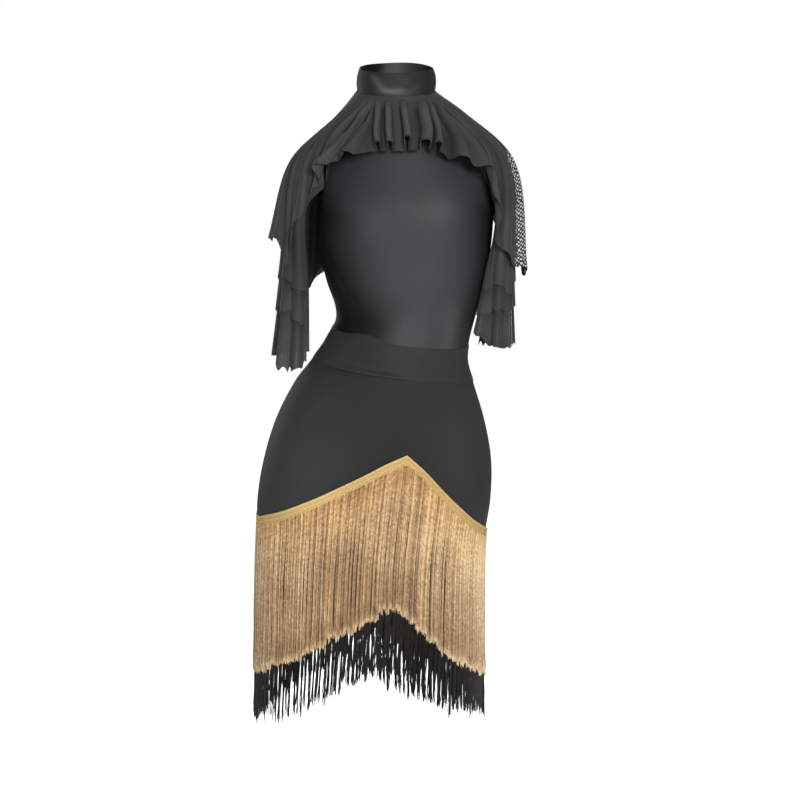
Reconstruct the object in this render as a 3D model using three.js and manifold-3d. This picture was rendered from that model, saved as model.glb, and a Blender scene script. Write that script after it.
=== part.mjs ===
// A worn dance dress with no wearer: stand collar, stretch bodice, flared net cape over
// tiered net sleeves, and a fitted skirt with two pointed rows of fringe.
// Millimetres, +Z up, the front faces -Y, origin at the middle of the neck seam.
import * as THREE from 'three';
import { mergeVertices } from 'three/addons/utils/BufferGeometryUtils.js';
import Module from 'manifold-3d';

const wasm = await Module();
wasm.setup();

// Cloth thicknesses and the gap that parts two pieces at a seam
const knit = 1.5;
const net = 1.2;
const collarCloth = 2.4;
const bandCloth = 1.8;
const seamGap = 0.3;
const overBody = knit + 0.9;

// The neck seam and the stand collar, which lean forward together
const neck = { half: 57, depth: 56, height: 7.5, lean: 13 };
const collar = { tall: 36, swell: 2.2, topInset: 3 };

// The bodice above the armpits: the share of each panel's upper edge that is neckline, the
// shoulder tips and the scoop of the armholes
const yoke = { armpit: 170, neckShare: 0.45, leftTip: 138, rightTip: -118, tipDrop: 69 };
const armhole = { wide: 38, inward: 12 };

// How far the bodice and the skirt run on under the waistband
const tuck = { bodice: 12, skirt: 8 };

// The fringes: a braid with strands that hang from its lower edge. swing: how far a strand
// leans to the wearer's right, in degrees round the body; hang: how far its end stands off
const braid = { tall: 15, thick: 1.6 };
const strands = { perRow: 96, wide: 5.2, thick: 2.2 };
const rows = {
  gold: { long: 214, swing: 2.5, hang: 7.5 },
  hem: { long: 214, swing: 7, hang: 2.4 },
};

// Level sections through the bodice, the skirt and, for the fringe alone, the space below it.
// drop: below the neck seam; centre: sideways; half, front, back: half width and the two depths;
// turn: how far the section faces the wearer's left, in degrees
const bodySections = [
  { drop: 80, centre: 18, half: 128, front: 84, back: 78, turn: 0 },
  { drop: 120, centre: 20, half: 131, front: 97, back: 86, turn: 0 },
  { drop: 178, centre: 14, half: 131, front: 108, back: 88, turn: 0 },
  { drop: 215, centre: 12, half: 130, front: 106, back: 86, turn: 1 },
  { drop: 275, centre: 15, half: 118, front: 94, back: 80, turn: 2 },
  { drop: 327, centre: 15, half: 103, front: 84, back: 75, turn: 4 },
  { drop: 365, centre: 1.5, half: 107, front: 85, back: 80, turn: 8 },
  { drop: 395, centre: -10, half: 117, front: 90, back: 90, turn: 12 },
  { drop: 424, centre: -17, half: 133, front: 97, back: 101, turn: 16 },
  { drop: 484, centre: -23, half: 160, front: 106, back: 116, turn: 20 },
  { drop: 544, centre: -26.5, half: 176, front: 111, back: 124, turn: 22 },
  { drop: 604, centre: -31, half: 180, front: 112, back: 124, turn: 22 },
  { drop: 650, centre: -34.5, half: 176, front: 111, back: 122, turn: 22 },
  { drop: 710, centre: -37.5, half: 174, front: 110, back: 121, turn: 22 },
  { drop: 960, centre: -38.5, half: 174, front: 110, back: 121, turn: 22 },
];

// The two soft cups of the front panel
const cup = { angle: 33, drop: 182, rise: 5, wide: 20, tall: 46 };

// The waistband's two seams: the height at the sides, and how far they dip to the front
// and to the wearer's left
const bandTop = { drop: 356, dip: 19, fall: 13.5 };
const bandFoot = { drop: 406, dip: 19, fall: 15.5 };

// Where the gold braid and the skirt's hem run: how far they fall below the point at the
// front seam, going round to each side. The back is cut as the front.
const point = { gold: 536, hem: 626 };
const fallRight = [
  { angle: 0, gold: 0, hem: 0 },
  { angle: 10, gold: 13, hem: 11 },
  { angle: 20, gold: 29, hem: 24 },
  { angle: 30, gold: 44, hem: 39 },
  { angle: 45, gold: 64, hem: 58 },
  { angle: 65, gold: 82, hem: 75 },
  { angle: 90, gold: 91, hem: 81 },
];
const fallLeft = [
  { angle: 0, gold: 0, hem: 0 },
  { angle: 10, gold: 25, hem: 21 },
  { angle: 20, gold: 52, hem: 43 },
  { angle: 30, gold: 74, hem: 60 },
  { angle: 45, gold: 97, hem: 76 },
  { angle: 65, gold: 110, hem: 83 },
  { angle: 90, gold: 113, hem: 86 },
];

// Ribs of the cape, from the back round the wearer's right side, the front and the left side to
// the back again. seam: the angle at the neck seam; ridge, fall and hem: points down the rib
const capeRibs = [
  { rib: -14, seam: -180, ridge: [2, 74, -14], fall: [6, 94, -50], hem: [9, 108, -112] },
  { rib: -13, seam: -148, ridge: [-40, 64, -18], fall: [-52, 88, -56], hem: [-56, 104, -120] },
  { rib: -12, seam: -126, ridge: [-60, 48, -24], fall: [-88, 76, -66], hem: [-104, 92, -236] },
  { rib: -11, seam: -114, ridge: [-73, 34, -28], fall: [-115, 58, -82], hem: [-134, 74, -272] },
  { rib: -10, seam: -105, ridge: [-81, 22, -30], fall: [-137, 42, -96], hem: [-158, 54, -262] },
  { rib: -9, seam: -98, ridge: [-86, 11, -30], fall: [-149, 26, -98], hem: [-175, 34, -238] },
  { rib: -8, seam: -92, ridge: [-88, 0, -29], fall: [-155, 2, -97], hem: [-185, 0, -218] },
  { rib: -7, seam: -86, ridge: [-87, -9, -29], fall: [-150, -22, -98], hem: [-176, -42, -238] },
  { rib: -6, seam: -80, ridge: [-84, -18, -29], fall: [-143, -40, -98], hem: [-159, -63, -256] },
  { rib: -5, seam: -73, ridge: [-79, -27, -28], fall: [-129, -50, -94], hem: [-143, -72, -196] },
  { rib: -4, seam: -64, ridge: [-71, -36, -28], fall: [-111, -56, -82], hem: [-121, -76, -156] },
  { rib: -3, seam: -53, ridge: [-57, -48, -28], fall: [-80, -68, -66], hem: [-108, -84, -114] },
  { rib: -2, seam: -38, ridge: [-41, -60, -30], fall: [-52, -76, -60], hem: [-66, -92, -95] },
  { rib: -1, seam: -20, ridge: [-21, -70, -31], fall: [-26, -86, -60], hem: [-29, -97, -89] },
  { rib: 0, seam: 0, ridge: [4, -74, -32], fall: [9, -88, -60], hem: [13, -98, -89] },
  { rib: 1, seam: 20, ridge: [27, -70, -31], fall: [38, -86, -60], hem: [46, -98, -89] },
  { rib: 2, seam: 38, ridge: [48, -60, -30], fall: [66, -76, -60], hem: [80, -94, -94] },
  { rib: 3, seam: 53, ridge: [66, -48, -28], fall: [94, -66, -64], hem: [112, -90, -109] },
  { rib: 4, seam: 64, ridge: [80, -37, -27], fall: [118, -57, -72], hem: [139, -80, -124] },
  { rib: 5, seam: 73, ridge: [90, -27, -27], fall: [140, -50, -88], hem: [148, -66, -180] },
  { rib: 6, seam: 80, ridge: [98, -18, -27], fall: [158, -41, -98], hem: [162, -60, -246] },
  { rib: 7, seam: 86, ridge: [102, -9, -26], fall: [170, -24, -99], hem: [180, -40, -258] },
  { rib: 8, seam: 92, ridge: [104, 0, -27], fall: [174, 0, -98], hem: [191, -4, -268] },
  { rib: 9, seam: 98, ridge: [102, 11, -27], fall: [171, 24, -100], hem: [188, 32, -262] },
  { rib: 10, seam: 105, ridge: [98, 22, -28], fall: [158, 42, -98], hem: [174, 54, -250] },
  { rib: 11, seam: 114, ridge: [90, 34, -28], fall: [136, 58, -84], hem: [158, 74, -204] },
  { rib: 12, seam: 126, ridge: [74, 48, -24], fall: [104, 76, -66], hem: [126, 96, -150] },
  { rib: 13, seam: 148, ridge: [44, 64, -18], fall: [62, 88, -56], hem: [72, 104, -118] },
  { rib: 14, seam: 180, ridge: [2, 74, -14], fall: [6, 94, -50], hem: [9, 108, -112] },
];

// Flutes that stand out of the cape. at: on which rib; rise: how far at the hem; wide: in ribs;
// up: how much shorter the hem hangs there
const capeFlutes = [
  { at: -12.6, rise: 9, wide: 0.3, up: 4 },
  { at: -11.5, rise: 8, wide: 0.3, up: 4 },
  { at: -9.5, rise: 7, wide: 0.32, up: 4 },
  { at: -8.2, rise: 6, wide: 0.3, up: 4 },
  { at: -6.9, rise: 6, wide: 0.32, up: 5 },
  { at: -5.2, rise: 8, wide: 0.3, up: 4 },
  { at: -4.1, rise: 9, wide: 0.26, up: 4 },
  { at: -3.1, rise: 11, wide: 0.24, up: 3 },
  { at: -2.05, rise: 11, wide: 0.24, up: 5 },
  { at: -0.98, rise: 14, wide: 0.15, up: 12 },
  { at: -0.58, rise: 14, wide: 0.14, up: 12 },
  { at: 0.06, rise: 15, wide: 0.16, up: 16 },
  { at: 0.82, rise: 12, wide: 0.26, up: 11 },
  { at: 1.55, rise: 12, wide: 0.28, up: 10 },
  { at: 2.6, rise: 10, wide: 0.36, up: 5 },
  { at: 3.7, rise: 10, wide: 0.34, up: 4 },
  { at: 4.7, rise: 8, wide: 0.3, up: 4 },
  { at: 6, rise: 7, wide: 0.34, up: 4 },
  { at: 7.4, rise: 6, wide: 0.34, up: 4 },
  { at: 9.4, rise: 7, wide: 0.34, up: 4 },
  { at: 10.8, rise: 8, wide: 0.34, up: 4 },
  { at: 12, rise: 10, wide: 0.34, up: 5 },
  { at: 13.1, rise: 11, wide: 0.32, up: 5 },
  { at: 14, rise: 11, wide: 0.3, up: 5 },
];

// The sleeve tiers hang from the shoulder down three loops that are open towards the body.
// side: 1 is the wearer's left; middle and half: sideways; fore: how far the foot loop hangs
// forward
const sleeves = {
  right: { side: -1, fore: 20, seam: { middle: 107.5, half: 12 }, top: { middle: 140, half: 14 },
    foot: { middle: 149, half: 30 } },
  left: { side: 1, fore: 10, seam: { middle: 143, half: 3 }, top: { middle: 160, half: 9 },
    foot: { middle: 147, half: 28 } },
};
const sleeveDepth = { seam: 38, top: 40, foot: 40 };

// The tiers' hems, as drops at an angle round the arm: 0 faces forward, 90 outwards
const tierHems = {
  right: [
    { angle: -60, upper: 298, middle: 326, lower: 398 },
    { angle: 0, upper: 298, middle: 330, lower: 412 },
    { angle: 46, upper: 296, middle: 326, lower: 411 },
    { angle: 72, upper: 292, middle: 320, lower: 382 },
    { angle: 120, upper: 290, middle: 320, lower: 378 },
    { angle: 240, upper: 294, middle: 324, lower: 380 },
  ],
  left: [
    { angle: -60, upper: 292, middle: 327, lower: 350 },
    { angle: -20, upper: 290, middle: 325, lower: 372 },
    { angle: 40, upper: 286, middle: 320, lower: 378 },
    { angle: 90, upper: 278, middle: 311, lower: 372 },
    { angle: 150, upper: 282, middle: 314, lower: 374 },
    { angle: 240, upper: 288, middle: 320, lower: 372 },
  ],
};
// lift and flare: how far a tier lies off the lowest at the shoulder, and more at its hem;
// right and left: the angles between which it wraps that arm
const tiers = [
  { name: 'upper', lift: 3.8, flare: 3.6, right: [-24, 206], left: [-36, 222] },
  { name: 'middle', lift: 1.9, flare: 1.8, right: [-26, 208], left: [-50, 236] },
  { name: 'lower', lift: 0, flare: 0, right: [-28, 210], left: [-60, 240] },
];

function radians(degrees) {
  return degrees * Math.PI / 180;
}

function vector(x, y, z) {
  return new THREE.Vector3(x, y, z);
}

// Reads a table at a value of its first column, on smooth curves through its rows
function readTable(table, key, at) {
  const last = table.length - 1;
  let row = 0;
  while (row < last - 1 && at > table[row + 1][key]) row++;
  const before = table[Math.max(row - 1, 0)];
  const start = table[row];
  const end = table[row + 1];
  const after = table[Math.min(row + 2, last)];
  const span = end[key] - start[key];
  const t = THREE.MathUtils.clamp((at - start[key]) / span, 0, 1);
  const value = {};
  for (const column of Object.keys(start)) {
    const [a, b, c, d] = [before, start, end, after].map((entry) => [entry[column]].flat());
    const numbers = b.map((from, i) => {
      const leave = (c[i] - a[i]) / (end[key] - before[key]) * span;
      const arrive = (d[i] - from) / (after[key] - start[key]) * span;
      return hermite(from, leave, c[i], arrive, t);
    });
    value[column] = numbers.length > 1 ? numbers : numbers[0];
  }
  return value;
}

function hermite(from, leave, to, arrive, t) {
  const u = 1 - t;
  return u * u * (1 + 2 * t) * from + t * u * u * leave + t * t * (3 - 2 * t) * to - t * t * u * arrive;
}

function bump(distance, width) {
  return Math.exp(-((distance / width) ** 2));
}

// A point on the worn form, lift outside it. angle is 0 at the front seam, and grows
// towards the wearer's left
function bodyPoint(angle, drop, lift = 0) {
  const section = readTable(bodySections, 'drop', drop);
  const a = radians(angle);
  const facing = Math.cos(a) > 0 ? section.front : section.back;
  const folded = Math.abs(THREE.MathUtils.euclideanModulo(angle + 180, 360) - 180);
  const cups = cup.rise * bump(folded - cup.angle, cup.wide) * bump(drop - cup.drop, cup.tall);
  const across = (section.half + lift) * Math.sin(a);
  const forward = (facing + cups + lift) * Math.cos(a);
  const turn = radians(section.turn);
  return vector(
    section.centre + across * Math.cos(turn) + forward * Math.sin(turn),
    across * Math.sin(turn) - forward * Math.cos(turn),
    -drop,
  );
}

// A surface's point moved out along its own normal
function lifted(surface, u, v, lift) {
  const step = 0.004;
  const low = Math.max(v - step, 0);
  const high = Math.min(v + step, 1);
  const along = surface(u + step, v).sub(surface(u - step, v));
  const down = surface(u, high).sub(surface(u, low));
  return surface(u, v).addScaledVector(down.cross(along).normalize(), lift);
}

function steps(from, to, count) {
  return Array.from({ length: count + 1 }, (_, i) => from + (to - from) * i / count);
}

// A closed wall of cloth over a grid of stops. place(u, v, lift) gives a point; the wall runs
// from the lift called inner to the lift called outer. A ring has no side edges.
function clothWall(place, { across, down, inner = 0, outer, ring = false }) {
  const columns = across.length;
  const positions = [];
  for (const lift of [outer, inner]) {
    for (const v of down) {
      for (const u of across) positions.push(...place(u, v, lift).toArray());
    }
  }
  const inside = columns * down.length;
  const at = (row, column) => row * columns + column % columns;
  const faces = [];
  const quad = (a, b, c, d) => faces.push(a, b, c, a, c, d);
  const spans = ring ? columns : columns - 1;
  const foot = down.length - 1;
  for (let i = 0; i < spans; i++) {
    for (let j = 0; j < foot; j++) {
      quad(at(j, i), at(j + 1, i), at(j + 1, i + 1), at(j, i + 1));
      quad(inside + at(j, i), inside + at(j, i + 1), inside + at(j + 1, i + 1), inside + at(j + 1, i));
    }
    quad(at(0, i), at(0, i + 1), inside + at(0, i + 1), inside + at(0, i));
    quad(at(foot, i), inside + at(foot, i), inside + at(foot, i + 1), at(foot, i + 1));
  }
  for (let j = 0; j < foot && !ring; j++) {
    const end = columns - 1;
    quad(at(j, 0), inside + at(j, 0), inside + at(j + 1, 0), at(j + 1, 0));
    quad(at(j, end), at(j + 1, end), inside + at(j + 1, end), inside + at(j, end));
  }
  return closedGeometry(positions, faces);
}

// A geometry whose faces point out
function closedGeometry(positions, faces) {
  const corner = (i) => vector(...positions.slice(3 * i, 3 * i + 3));
  let volume = 0;
  for (let i = 0; i < faces.length; i += 3) {
    volume += corner(faces[i]).dot(corner(faces[i + 1]).cross(corner(faces[i + 2])));
  }
  if (volume < 0) faces.reverse();
  const geometry = new THREE.BufferGeometry();
  geometry.setAttribute('position', new THREE.Float32BufferAttribute(positions, 3));
  geometry.setIndex(faces);
  return geometry;
}

// Seam lines, as drops below the neck seam at an angle round the body
function bandLine(seam, angle) {
  return seam.drop + seam.dip * Math.cos(radians(angle)) + seam.fall * Math.sin(radians(angle));
}

function fringeLine(row, angle) {
  const wrapped = THREE.MathUtils.euclideanModulo(angle + 180, 360) - 180;
  const side = Math.abs(wrapped);
  const table = wrapped < 0 ? fallRight : fallLeft;
  return point[row] + readTable(table, 'angle', Math.min(side, 180 - side))[row];
}

// The neck seam: angle 0 is the front
function neckPoint(angle, out = 0, up = 0) {
  const a = radians(angle);
  return vector(
    (neck.half + out) * Math.sin(a),
    -(neck.depth + out) * Math.cos(a),
    neck.height - neck.lean * Math.cos(a) + up,
  );
}

function standCollar() {
  const shape = (angle, v, lift) => {
    const out = collar.swell * Math.sin(Math.PI * v) - collar.topInset * (1 - v);
    return neckPoint(angle, out + lift, seamGap + collar.tall * (1 - v));
  };
  return clothWall(shape, {
    across: steps(0, 360, 32).slice(0, -1),
    down: steps(0, 1, 3),
    inner: -collarCloth / 2,
    outer: collarCloth / 2,
    ring: true,
  });
}

// The bodice's front or back above the armpits. across runs from -1 to 1 and down from 0, at
// the neck and shoulder seams, to 1, at the armpits

function yokePoint(side, across, down) {
  const facing = side === 'front' ? -1 : 1;
  const share = Math.abs(across);
  const angle = side === 'front' ? 90 * across : 180 - 90 * across;
  const chest = bodyPoint(angle, yoke.armpit);
  let top;
  let leave;
  if (share < yoke.neckShare) {
    const turn = 90 * across / yoke.neckShare;
    top = neckPoint(side === 'front' ? turn : 180 - turn, 0, -seamGap - knit);
    leave = vector(0, facing * 34, -52 - 20 * (1 - share / yoke.neckShare));
  } else {
    const tipX = across > 0 ? yoke.leftTip : yoke.rightTip;
    const corner = neckPoint(across > 0 ? 90 : -90, 0, -seamGap - knit);
    const t = (share - yoke.neckShare) / (1 - yoke.neckShare);
    top = corner.lerp(vector(tipX, 0, -yoke.tipDrop), t);
    top.y += facing * seamGap / 2;
    leave = vector(0, facing * (60 - 22 * t), -45);
  }
  const arrive = vector(0, 0, -100);
  const scoop = Math.max(0, (share - 0.55) / 0.45) ** 2 * Math.sin(Math.PI * down);
  return vector(
    hermite(top.x, leave.x, chest.x, arrive.x, down) - Math.sign(across) * armhole.inward * scoop,
    hermite(top.y, leave.y, chest.y, arrive.y, down) + facing * armhole.wide * scoop,
    hermite(top.z, leave.z, chest.z, arrive.z, down),
  );
}

function bodicePanel(side) {
  const limit = 1 - seamGap / 2 / 131 / (Math.PI / 2);
  const shape = (across, down, lift) => {
    const share = THREE.MathUtils.clamp(across, -limit, limit);
    if (down < 1) {
      const surface = (u, v) => yokePoint(side, u, v);
      return lifted(surface, share, down, side === 'front' ? lift : -lift);
    }
    const angle = side === 'front' ? 90 * share : 180 - 90 * share;
    const foot = bandLine(bandTop, angle) + tuck.bodice;
    return bodyPoint(angle, yoke.armpit + (foot - yoke.armpit) * (down - 1), lift);
  };
  const above = steps(0, 1, 5).slice(0, -1);
  const below = steps(0, 90, 7).map((turn) => 1 + Math.sin(radians(turn)));
  return clothWall(shape, { across: steps(-1, 1, 24), down: [...above, ...below], outer: knit });
}

// A panel of the skirt or its waistband between two lines round the body
function skirtPanel(from, to, topLine, footLine, { inner, outer, rows }) {
  const gap = seamGap / 2 / 110 * 180 / Math.PI;
  const count = Math.round((to - from) / 7.5);
  const shape = (angle, down, lift) => {
    const top = topLine(angle);
    return bodyPoint(angle, top + (footLine(angle) - top) * down, lift);
  };
  const across = steps(from, to, count);
  across[0] += gap;
  across[count] -= gap;
  return clothWall(shape, { across, down: steps(0, 1, rows), inner, outer });
}

function waistband(from, to) {
  return skirtPanel(from, to, (a) => bandLine(bandTop, a), (a) => bandLine(bandFoot, a), {
    inner: overBody, outer: overBody + bandCloth, rows: 2,
  });
}

function skirt(from, to) {
  const top = (angle) => bandLine(bandFoot, angle) - tuck.skirt;
  const foot = (angle) => fringeLine('hem', angle) + braid.tall;
  return skirtPanel(from, to, top, foot, { inner: 0, outer: knit, rows: 8 });
}

// The cape: from the neck seam over the shoulders to a fluted hem, u in ribs and v from 0 to 1
function capePoint(u, v) {
  const { seam, ridge, fall, hem } = readTable(capeRibs, 'rib', u);
  const start = neckPoint(seam, 2, 0.4);
  const [p, q, r] = [ridge, fall, hem].map((place) => vector(...place));
  const curve = new THREE.CatmullRomCurve3([start, p, q, r], false, 'centripetal');
  const place = curve.getPoint(v);
  const across = radians(seam);
  const outward = vector(Math.sin(across), -Math.cos(across), 0.35).normalize();
  for (const flute of capeFlutes) {
    const shape = bump(u - flute.at, flute.wide) * v ** 1.6;
    place.addScaledVector(outward, flute.rise * shape);
    place.z += flute.up * shape * v;
  }
  return place;
}

function cape() {
  const narrow = capeFlutes.filter((flute) => flute.wide < 0.2);
  const fluted = narrow.flatMap(({ at, wide }) => steps(-1.6, 1.6, 4).map((reach) => at + wide * reach));
  const even = steps(-14, 14, 56).slice(0, -1);
  const plain = even.filter((u) => fluted.every((stop) => Math.abs(stop - u) > 0.09));
  const across = [...plain, ...fluted].sort((one, other) => one - other);
  const shape = (u, v, lift) => lifted(capePoint, u, v, lift);
  return clothWall(shape, { across, down: steps(0, 1, 8), outer: net, ring: true });
}

// The form under all three tiers of a sleeve: angle 0 faces forward and 90 outwards, v runs
// from the shoulder to the lowest hem
function sleevePoint(arm, angle, v) {
  const { side, fore, seam, top, foot } = sleeves[arm];
  const a = radians(angle);
  const loop = (x, deep, z) => vector(side * x, -deep * Math.cos(a), z);
  const out = Math.sin(a);
  const hem = readTable(tierHems[arm], 'angle', angle).lower;
  const start = loop(seam.middle + seam.half * out * out, sleeveDepth.seam, -119 + 45 * out);
  const shoulder = loop(top.middle + top.half * out, sleeveDepth.top, -152 + 34 * out);
  const end = loop(foot.middle + foot.half * out, sleeveDepth.foot, -hem);
  end.y -= fore;
  const elbow = end.clone().lerp(shoulder, 0.5);
  const curve = new THREE.CatmullRomCurve3([start, shoulder, elbow, end], false, 'centripetal');
  const place = curve.getPoint(v);
  const wave = 3 * v * v * Math.cos(radians(angle * 8 + 20));
  place.x += side * wave * out;
  place.y -= wave * Math.cos(a);
  return place;
}

// How far down the sleeve's form a hem lies
function hemShare(arm, angle, hem) {
  let low = 0.2;
  let high = 1;
  for (let i = 0; i < 24; i++) {
    const middle = (low + high) / 2;
    if (-sleevePoint(arm, angle, middle).z < hem) low = middle;
    else high = middle;
  }
  return high;
}

function sleeveTier(arm, tier) {
  const { name, lift, flare } = tier;
  const [from, to] = tier[arm];
  const { side } = sleeves[arm];
  const shape = (angle, v, out) => {
    const hem = hemShare(arm, angle, readTable(tierHems[arm], 'angle', angle)[name]);
    const share = v < 0.4 ? v : THREE.MathUtils.mapLinear(v, 0.4, 1, 0.4, hem);
    return lifted((a, w) => sleevePoint(arm, a, w), angle, share, side * (lift + flare * share + out));
  };
  const down = [0, 0.12, 0.25, 0.4, 0.7, 1];
  return clothWall(shape, { across: steps(from, to, 22), down, outer: net });
}

// A repeatable scatter from -1 to 1
function scatter(seed) {
  const wave = Math.sin(seed * 12.9898) * 43758.5453;
  return 2 * (wave - Math.floor(wave)) - 1;
}

function toSolid(geometry) {
  const bare = mergeVertices(geometry, 1e-5);
  return new wasm.Manifold(new wasm.Mesh({
    numProp: 3,
    vertProperties: new Float32Array(bare.attributes.position.array),
    triVerts: new Uint32Array(bare.index.array),
  }));
}

function fromSolid(solid) {
  const mesh = solid.getMesh();
  const geometry = new THREE.BufferGeometry();
  geometry.setAttribute('position', new THREE.Float32BufferAttribute(mesh.vertProperties, 3));
  geometry.setIndex(Array.from(mesh.triVerts));
  return geometry;
}

// One hanging strand: a three-sided lock that leaves the braid's lower edge and swings a little
// to the wearer's right
function strand(row, angle, index) {
  const { long, swing, hang } = rows[row];
  const root = fringeLine(row, angle) + braid.tall - 2;
  const foot = root + long + 5 * scatter(index + 1);
  const lean = -swing * (0.3 + 0.7 * Math.max(Math.cos(radians(angle)), 0));
  const stops = [
    { down: 0, lift: overBody + 0.3, thick: 0.9 },
    { down: 0.45, lift: overBody + (hang - overBody) * 0.6, thick: strands.thick },
    { down: 1, lift: hang, thick: strands.thick * 0.7 },
  ];
  const positions = [];
  for (const { down, lift, thick } of stops) {
    const drop = root + (foot - root) * down;
    const here = angle + lean * down;
    const middle = bodyPoint(here, drop, lift);
    const tangent = bodyPoint(here + 1, drop).sub(bodyPoint(here - 1, drop)).setZ(0).normalize();
    const out = vector(tangent.y, -tangent.x, 0);
    for (const [sideways, outwards] of [[-0.5, 0], [0.5, 0], [0, 1]]) {
      const corner = middle.clone();
      corner.addScaledVector(tangent, sideways * strands.wide);
      corner.addScaledVector(out, outwards * thick);
      positions.push(...corner.toArray());
    }
  }
  const faces = [0, 2, 1];
  for (let k = 0; k < stops.length - 1; k++) {
    for (let i = 0; i < 3; i++) {
      const a = 3 * k + i;
      const b = 3 * k + (i + 1) % 3;
      faces.push(a, b, b + 3, a, b + 3, a + 3);
    }
  }
  const tip = 3 * (stops.length - 1);
  faces.push(tip, tip + 1, tip + 2);
  return closedGeometry(positions, faces);
}

// Angles that part the strands evenly round the braid
function evenAngles(row, count) {
  const fine = steps(0, 360, 720);
  const spots = fine.map((angle) => bodyPoint(angle, fringeLine(row, angle)).setZ(0));
  const run = [0];
  for (let i = 1; i < spots.length; i++) run.push(run[i - 1] + spots[i].distanceTo(spots[i - 1]));
  const pitch = run[run.length - 1] / count;
  return Array.from({ length: count }, (_, k) => {
    const target = (k + 0.5) * pitch;
    const i = run.findIndex((length) => length >= target);
    return fine[i] - (run[i] - target) / (run[i] - run[i - 1]) * 0.5;
  });
}

function fringe(row) {
  const shape = (angle, down, lift) => bodyPoint(angle, fringeLine(row, angle) + braid.tall * down, lift);
  const band = clothWall(shape, {
    across: steps(0, 360, 48).slice(0, -1),
    down: [0, 1],
    inner: overBody,
    outer: overBody + braid.thick,
    ring: true,
  });
  const places = evenAngles(row, strands.perRow);
  const locks = places.map((angle, index) => toSolid(strand(row, angle, index)));
  return fromSolid(wasm.Manifold.union([toSolid(band), ...locks]));
}

const finishes = {
  knit: new THREE.MeshStandardMaterial({ color: '#2c2d2e', roughness: 0.5, metalness: 0 }),
  net: new THREE.MeshStandardMaterial({ color: '#262626', roughness: 0.85, metalness: 0 }),
  gold: new THREE.MeshStandardMaterial({ color: '#c8a26b', roughness: 0.55, metalness: 0 }),
  black: new THREE.MeshStandardMaterial({ color: '#141414', roughness: 0.6, metalness: 0 }),
};

const dress = new THREE.Group();

function add(name, geometry, material) {
  const mesh = new THREE.Mesh(geometry, material);
  mesh.name = name;
  dress.add(mesh);
}

add('collar', standCollar(), finishes.knit);
add('bodice_front', bodicePanel('front'), finishes.knit);
add('bodice_back', bodicePanel('back'), finishes.knit);
add('cape', cape(), finishes.net);
for (const arm of ['right', 'left']) {
  for (const tier of tiers) add(`${arm}_sleeve_${tier.name}`, sleeveTier(arm, tier), finishes.net);
}
add('waistband_front_right', waistband(-90, 0), finishes.knit);
add('waistband_front_left', waistband(0, 90), finishes.knit);
add('waistband_back', waistband(90, 270), finishes.knit);
add('skirt_front_right', skirt(-90, 0), finishes.knit);
add('skirt_front_left', skirt(0, 90), finishes.knit);
add('skirt_back', skirt(90, 270), finishes.knit);
add('gold_fringe', fringe('gold'), finishes.gold);
add('black_fringe', fringe('hem'), finishes.black);

export default dress;
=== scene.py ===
import math
import bpy
import numpy as np
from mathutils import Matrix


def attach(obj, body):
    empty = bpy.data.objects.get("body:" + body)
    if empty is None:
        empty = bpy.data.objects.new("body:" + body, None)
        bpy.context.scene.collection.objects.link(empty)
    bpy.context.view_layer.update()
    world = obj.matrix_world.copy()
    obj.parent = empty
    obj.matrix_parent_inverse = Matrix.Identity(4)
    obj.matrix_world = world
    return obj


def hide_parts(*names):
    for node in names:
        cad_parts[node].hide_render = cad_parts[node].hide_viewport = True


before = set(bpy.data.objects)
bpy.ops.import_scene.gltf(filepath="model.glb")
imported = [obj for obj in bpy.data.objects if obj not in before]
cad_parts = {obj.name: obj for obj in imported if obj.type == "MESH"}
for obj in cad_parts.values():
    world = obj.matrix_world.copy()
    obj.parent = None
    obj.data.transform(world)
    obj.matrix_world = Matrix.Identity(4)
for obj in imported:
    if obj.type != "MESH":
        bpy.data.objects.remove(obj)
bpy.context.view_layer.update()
mm = 0.001

# camera, floor and light
cameraView = {"x": 6, "z": -454.5, "distance": 5000, "lens": 150}
studio = {"floorDrop": 1010, "floorTone": 0.9, "floorGlow": 1.0, "backdrop": 1.0, "around": 0.13}
lights = {
    "key": {"place": (1000, -3200, 600), "size": 1300, "power": 84},
    "fill": {"place": (-1700, -2700, -700), "size": 1400, "power": 18},
    "rim": {"place": (-1900, 1700, 300), "size": 900, "power": 9},
    "behind": {"place": (0, 3300, 500), "size": 1700, "power": 60},
}
lampTarget = (0, 0, -400)


def putCamera():
    v = cameraView
    bpy.ops.object.camera_add(location=(v["x"] * mm, -v["distance"] * mm, v["z"] * mm),
                              rotation=(math.pi / 2, 0, 0))
    cam = bpy.context.object
    cam.data.lens = v["lens"]
    cam.data.sensor_width = 36
    cam.data.clip_end = 80
    bpy.context.scene.camera = cam


def setInputs(node, values):
    for key, value in values.items():
        node.inputs[key].default_value = value


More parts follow.
